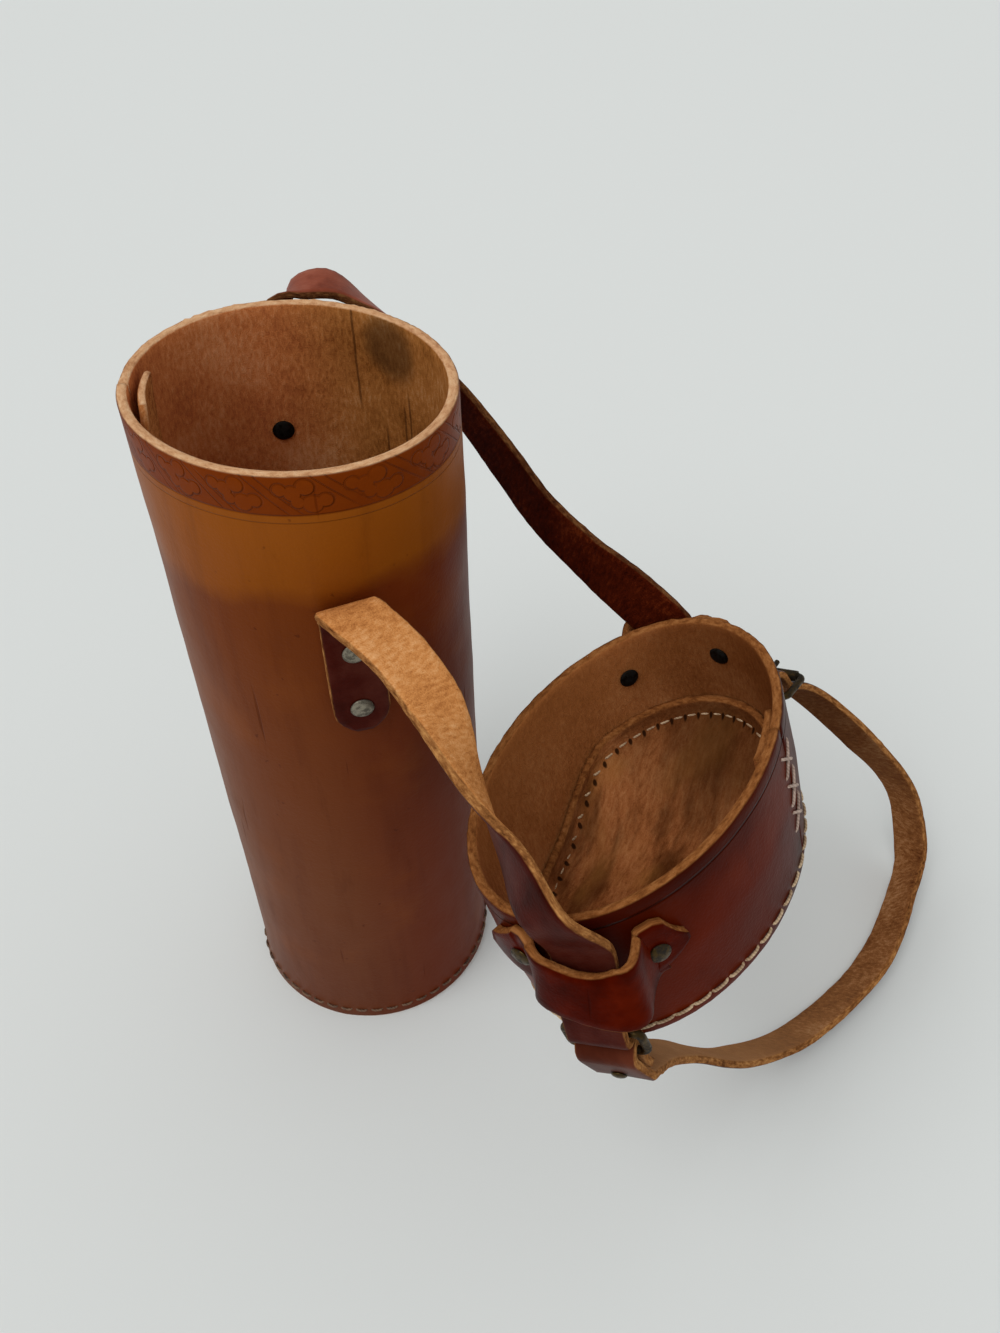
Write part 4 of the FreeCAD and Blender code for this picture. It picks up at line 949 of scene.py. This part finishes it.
def rivets(name, places, head, material, body, node):
    """Rivets at places of (foot in millimetres, direction out, grip in millimetres)."""
    dome = [(0.00001, RIVET_DOME), (head * 0.35, 0.00112), (head * 0.68, 0.00088), (head * 0.9, 0.00052),
            (head, 0.00018), (head * 0.97, 0.0), (RIVET_POST, 0.0)]
    bm = bmesh.new()
    for foot, out, grip in places:
        grip = grip * MM
        top, bottom = grip + HEAD_LIFT, -FOOT_DROP
        line = [(radius, top + rise) for radius, rise in dome]
        line += [(radius, bottom - rise) for radius, rise in dome[::-1]]
        verts = [bm.verts.new((radius, 0, height)) for radius, height in line]
        edges = [bm.edges.new(pair) for pair in zip(verts, verts[1:])]
        before = set(bm.verts) - set(verts)
        bmesh.ops.spin(bm, geom=verts + edges, cent=(0, 0, 0), axis=(0, 0, 1), angle=2 * math.pi, steps=28,
                       use_merge=True)
        made = [vert for vert in bm.verts if vert not in before]
        for surface in {surface for vert in made for surface in vert.link_faces}:
            surface.material_index = 1 if surface.calc_center_median().z < grip / 2 else 0
        turn = Vector((0, 0, 1)).rotation_difference(Vector(out)).to_matrix().to_4x4()
        bmesh.ops.transform(bm, matrix=Matrix.Translation(Vector(foot) * MM) @ turn, verts=made)
    bmesh.ops.remove_doubles(bm, verts=bm.verts[:], dist=0.00004)
    piece = finished(name, bm, material, body, node)
    piece.data.materials.append(black)
    return piece


nickel = metal("worn_nickel", "8e8676", "4a4438", 0.34, 0.8)
bronze = metal("antique_brass", "4a3a20", "1c140a", 0.36, 0.9)
black = metal("blackened_steel", "1c1812", "0a0806", 0.5, 0.9)
rivets("front_strap_rivet_pair", [((15.5, -46.7, 204.0), (0.228, -0.974, 0), 7.0),
                                  ((15.5, -46.7, 229.0), (0.228, -0.974, 0), 7.0)],
       TAB_HEAD, nickel, "tube", "front_strap_rivets")
rivets("back_strap_rivet_pair", [((-13.8, 47.1, 221.0), (-0.186, 0.983, 0), 7.0),
                                 ((-13.9, 47.1, 246.0), (-0.186, 0.983, 0), 7.0)],
       TAB_HEAD, nickel, "tube", "back_strap_rivets")
rivets("front_keeper_rivet_pair", [((70.6, -134.0, 190.8), (-0.580, -0.810, -0.090), 6.75),
                                   ((103.1, -136.8, 194.8), (0.314, -0.930, 0.192), 6.75)],
       KEEPER_HEAD, bronze, "cap", "front_keeper_rivets")
rivets("back_keeper_rivet_pair", [((138.6, -29.9, 200.6), (0.584, 0.806, 0.092), 6.75),
                                  ((108.0, -27.9, 188.8), (-0.317, 0.928, -0.193), 6.75)],
       KEEPER_HEAD, bronze, "cap", "back_keeper_rivets")
for node in ("front_fold_rivet", "back_fold_rivet", "buckle_strap_heel_rivet", "front_ring", "back_ring",
             "buckle_frame", "buckle_roller", "buckle_prong"):
    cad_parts[node].data.materials.clear()
    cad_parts[node].data.materials.append(bronze)


# Keepers. A leather bridge on each side of the cap, riveted at both ends, with pointed ends and a scooped
# upper edge. The side strap slides through it.
KEEPER_HEIGHT = 24.0
KEEPER_HALF = 17.5
KEEPER_TIP = 29.0
KEEPER_FOOT = 15.0
KEEPER_THICKNESS = 0.0032
KEEPER_SCOOP = 6.0
KEEPER_BLUNT = 1.2
HIGH_LEAN, LOW_LEAN = -1.52, 1.6


def keeper_line(angle, drop, lean, left, middle, right):
    """The keeper's middle layer at one level, with the room for the strap at three places, in millimetres."""
    wing = [KEEPER_TIP + 1.0 + (KEEPER_FOOT - KEEPER_TIP - 1.0) * step / 5 for step in range(6)]
    poles = [(-along, 0.0) for along in wing]
    bridge = ((-12.4, 0.9 * left), (-9.5, 1.25 * left), (0.0, 1.25 * middle), (9.5, 1.35 * right),
              (12.4, 0.85 * right))
    poles += [(along - lean, out) for along, out in bridge]
    poles += [(along, 0.0) for along in wing[::-1]]
    rate = math.hypot(CAP_SHORT * math.sin(angle), CAP_LONG * math.cos(angle))
    places = []
    for along, out in poles:
        turn = angle + along * MM / rate
        normal = Vector((math.cos(turn) / CAP_SHORT, math.sin(turn) / CAP_LONG, 0)).normalized()
        point = Vector((CAP_SHORT * math.cos(turn), CAP_LONG * math.sin(turn), -drop * MM))
        places.append(point + normal * (out * MM + SEWN_GAP + KEEPER_THICKNESS / 2))
    bm = drawn([places], 4, 5)
    line = [vert.co.copy() for vert in bm.verts]
    bm.free()
    return line


def keeper(name, angle, top, tilt, high_room, low_room, node):
    """A bent strip between a high and a low line on the cap, cut to a tilted outline."""
    high = keeper_line(angle, top, HIGH_LEAN, *high_room)
    low = keeper_line(angle, top + KEEPER_HEIGHT, LOW_LEAN, *low_room)
    centre = Vector((CAP_SHORT * math.cos(angle), CAP_LONG * math.sin(angle), 0))
    tangent = Vector((-CAP_SHORT * math.sin(angle), CAP_LONG * math.cos(angle), 0)).normalized()
    half = KEEPER_HEIGHT / 2

    def cut(first, second, upper):
        """Where the line between two points meets the upper or lower edge of the tilted outline."""
        share, level = (0.0, half) if upper else (1.0, -half)
        for step in range(6):
            spot = first.lerp(second, share)
            way = ((spot - centre).dot(tangent) * 1000 - level * math.sin(tilt)) / math.cos(tilt)
            past = (abs(way) - KEEPER_HALF) / (KEEPER_TIP - KEEPER_HALF)
            if not upper:
                level = -half + (half + KEEPER_BLUNT) * min(1.0, abs(way) / KEEPER_TIP) ** 5
            elif past > 0:
                level = half * (1 - past) + KEEPER_BLUNT * past
            else:
                level = half - KEEPER_SCOOP * (1 - (way / KEEPER_HALF) ** 2)
            drop = half - level * math.cos(tilt) + way * math.sin(tilt)
            share = drop / KEEPER_HEIGHT
        return first.lerp(second, share), past

    stations = []
    for first, second in zip(high, low):
        upper, _ = cut(first, second, True)
        lower, past = cut(first, second, False)
        if past < 1.0:
            stations.append((CAP_PLACE @ ((upper + lower) / 2), CAP_PLACE.to_3x3() @ (upper - lower),
                             max((upper - lower).length, 0.0012)))
    bm = strap(stations, KEEPER_THICKNESS)
    finished(name, bm, keeper_leather, "cap", node)


keeper_leather = leather("keeper_leather", plain_grain("300500", "440a00", "5a1503", 0.018), CAP_FLESH,
                         CAP_EDGE, shine=CAP_SHINE, gloss=CAP_GLOSS)
HIGH_ROOM = (4.29, 5.28, 6.28)
keeper("front_keeper_leather", math.radians(-71.1), 5.0, math.radians(9.0), HIGH_ROOM, (7.07, 9.36, 11.66),
       "front_keeper")
keeper("back_keeper_leather", math.radians(108.9), 3.0, math.radians(3.5), HIGH_ROOM, (5.74, 10.20, 14.66),
       "back_keeper")


# Shoulder strap. One long strap, flesh side up: folded round the lower bar of the front ring, laid in a loop
# to the floor and back up, and drawn through the buckle at the other end.
def strap_tones_along(base, flat, tone):
    """Paler along the first stretch from the front ring and darker towards the buckle."""
    along = axis(flat, 0)
    tone = between((1 - ease(along, 0.14, 0.30)) * 0.60, tone, "b88658")
    return between(ease(along, 0.36, 0.46) * 0.70, tone, "3a1a0a")


shoulder_leather = leather("shoulder_strap_leather", plain_grain("34120a", "4a2014", "5e2e1e"),
                           ("522a14", "86542e", "b4845a"), STRAP_EDGE, stains_and_painted_light=strap_tones_along)
FRONT_LOW_BAR = (92.6, -151.3, 158.3)
FRONT_ACROSS = (0.900, -0.313, 0.304)
FRONT_BACKWARDS = Vector((-0.382, -0.230, 0.895))
FRONT_INWARDS = Vector((0.210, 0.922, 0.327))
BUCKLE_ACROSS = (0.794, -0.532, 0.295)
TO_BUCKLE = (-0.597, -0.591, 0.542)
RIVET_BACK, RIVET_SIDE, FOLD_GRIP = 10.9, 0.7, 6.6
end = fold(FRONT_LOW_BAR, WIRE_RADIUS, FRONT_ACROSS, FRONT_BACKWARDS, FRONT_INWARDS, RING_GAP)
knots = [(tuple(end[0][0] * 1000), FRONT_ACROSS),
         ((102.0, -143.5, 132.0), (0.76, -0.56, 0.34)), ((109.5, -129.5, 110.0), (0.72, -0.58, 0.38)),
         ((121.0, -116.8, 86.0), (0.69, -0.58, 0.43)), ((154.0, -96.3, 39.0), (0.64, -0.58, 0.50)),
         ((189.0, -72.0, 11.5), (0.60, -0.55, 0.58)), ((231.0, -35.0, 8.4), (0.56, -0.47, 0.68)),
         ((249.6, -4.7, 9.4), (0.46, -0.34, 0.82)), ((258.5, 14.0, 13.5), (0.42, -0.46, 0.78)),
         ((255.7, 27.1, 36.0), (0.48, -0.80, 0.35)), ((224.5, 27.7, 86.0), (0.68, -0.56, 0.46)),
         ((181.6, 28.2, 125.9), BUCKLE_ACROSS)]
run = glide(knots, 150, -FRONT_BACKWARDS, TO_BUCKLE)
TAIL_STEPS = 26
TIP_BLUNT, TIP_SWELL, TIP_STEPS = 0.3, 0.8, 5.6
tail = glide([((181.6, 28.2, 125.9), BUCKLE_ACROSS), ((179.2, 26.0, 128.3), BUCKLE_ACROSS),
              ((176.8, 23.7, 130.5), BUCKLE_ACROSS), ((171.2, 20.7, 140.4), BUCKLE_ACROSS),
              ((162.9, 12.6, 147.9), BUCKLE_ACROSS), ((149.3, -0.9, 160.2), BUCKLE_ACROSS)], TAIL_STEPS,
             TO_BUCKLE, TO_BUCKLE)
shares = [TIP_BLUNT + TIP_SWELL * math.sqrt((TAIL_STEPS - step) / TIP_STEPS)
          for step in range(TAIL_STEPS + 1)]
tail = [(middle, across, width * min(1.0, share)) for share, (middle, across, width) in zip(shares, tail)]
bm = strap(end[::-1][:-1] + run + tail[1:])
shoulder = finished("shoulder_strap_leather", bm, shoulder_leather, None, "shoulder_strap")
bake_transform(shoulder)

foot = Vector(FRONT_LOW_BAR) - FRONT_BACKWARDS * RIVET_BACK + FRONT_INWARDS * RIVET_SIDE
piece = rivets("shoulder_fold_rivet_brass", [(foot, -FRONT_INWARDS, FOLD_GRIP)], FOLD_HEAD, bronze, None,
               "shoulder_fold_rivet")
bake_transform(piece)


# Buckle strap. A short strap folded round the back ring at one end and round the buckle's bar at the other.
BACK_LOW_BAR = (141.4, -12.9, 159.8)
HEEL = (168.7, 14.1, 135.0)
HEEL_RADIUS = 0.0015
ALONG = Vector((0.597, 0.591, -0.542))
GRAIN_OUT = Vector((0.114, 0.607, 0.787))
across = -Vector(BUCKLE_ACROSS)
ring_end = fold(BACK_LOW_BAR, WIRE_RADIUS, across, -ALONG, -GRAIN_OUT, RING_GAP)
heel_end = fold(HEEL, HEEL_RADIUS, across, ALONG, -GRAIN_OUT)
bm = strap(ring_end[::-1][:-1] + heel_end[1:])
short_strap = finished("buckle_strap_leather", bm, shoulder_leather, None, "buckle_strap")
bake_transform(short_strap)

foot = Vector(BACK_LOW_BAR) + ALONG * RIVET_BACK - GRAIN_OUT * RIVET_SIDE
piece = rivets("buckle_strap_rivet_brass", [(foot, GRAIN_OUT, FOLD_GRIP)], FOLD_HEAD, bronze, None,
               "buckle_strap_ring_rivet")
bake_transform(piece)


# Strap loop. A narrow band of thinner leather, closed to a ring round the buckle strap and the long strap's
# tail. It slides along both.
LOOP_MIDDLE = Vector((0.15583, 0.003864, 0.151242))
LOOP_LOW, LOOP_HIGH, LOOP_REACH = -0.0028, 0.0114, 0.0108
LOOP_CORNER = 0.0012
LOOP_WIDTH = 0.009
LOOP_THICKNESS = 0.002
stations = []
for x, y, turn in ((1, LOOP_LOW, -90), (1, LOOP_HIGH, 0), (-1, LOOP_HIGH, 90), (-1, LOOP_LOW, 180)):
    for step in range(5):
        angle = math.radians(turn + 90 * step / 4)
        aside = x * (LOOP_REACH - LOOP_CORNER) + LOOP_CORNER * math.cos(angle)
        above = y - math.copysign(LOOP_CORNER, y) + LOOP_CORNER * math.sin(angle)
        stations.append((LOOP_MIDDLE + across * aside + GRAIN_OUT * above, ALONG, LOOP_WIDTH))
bm = strap(stations, LOOP_THICKNESS, closed=True)
finished("strap_loop_leather", bm, shoulder_leather, "loop", "strap_loop")


# Floor and light. A wide pale sheet lies under the carrier. A broad soft light comes from the upper left,
# and the surround is pale and even.
FLOOR_HALF = 40.0
SURROUND, SEEN_MORE, MIRRORED_LESS = 0.70, 0.06, 0.3
WINDOW_STRENGTH = 1.25
WINDOW_SPREAD = math.radians(45)
WINDOW_WAY = Vector((0.42, 0.38, -0.82))
bm = bmesh.new()
bmesh.ops.create_grid(bm, x_segments=1, y_segments=1, size=FLOOR_HALF)
mesh = bpy.data.meshes.new("floor")
bm.to_mesh(mesh)
bm.free()
floor = placed("floor", mesh)
paint, shader = blank("pale_floor")[:2]
shader.inputs["Base Color"].default_value = tint("dcdfdd")
shader.inputs["Roughness"].default_value = 0.8
mesh.materials.append(paint)

world = bpy.data.worlds.new("studio")
bpy.context.scene.world = world
world.use_nodes = True
background = world.node_tree.nodes["Background"]
sky = Tone(world.node_tree)
seen = sky.made("LightPath", "Is Camera Ray")
shone = sky.made("LightPath", "Is Glossy Ray")
background.inputs["Color"].default_value = tint("f4f5f5")
(SURROUND + seen * SEEN_MORE - shone * MIRRORED_LESS).to(background, "Strength")

sun = bpy.data.lights.new("window", "SUN")
sun.energy = WINDOW_STRENGTH
sun.angle = WINDOW_SPREAD
window = placed("window", sun)
window.rotation_euler = WINDOW_WAY.to_track_quat("-Z", "Y").to_euler()


# Camera. It stands in front of the carrier at the photograph's place and looks down at it, rolled a little.
CAMERA_PLACE = (0.0627, -0.3183, 0.4847)
CAMERA_LENS = 31.664
CAMERA_ROLL = -0.0263
camera = placed("camera", bpy.data.cameras.new("camera"))
bpy.context.scene.camera = camera
camera.data.lens = CAMERA_LENS
camera.data.sensor_width = 36.0
camera.data.clip_start = 0.01
level_right, level_up = Vector((1, 0, 0)), Vector((0, 0.7053, 0.709))
right = level_right * math.cos(CAMERA_ROLL) + level_up * math.sin(CAMERA_ROLL)
up = level_up * math.cos(CAMERA_ROLL) - level_right * math.sin(CAMERA_ROLL)
facing = Matrix((right, up, right.cross(up))).transposed().to_4x4()
camera.matrix_world = Matrix.Translation(CAMERA_PLACE) @ facing

bpy.context.scene.view_settings.view_transform = "Standard"
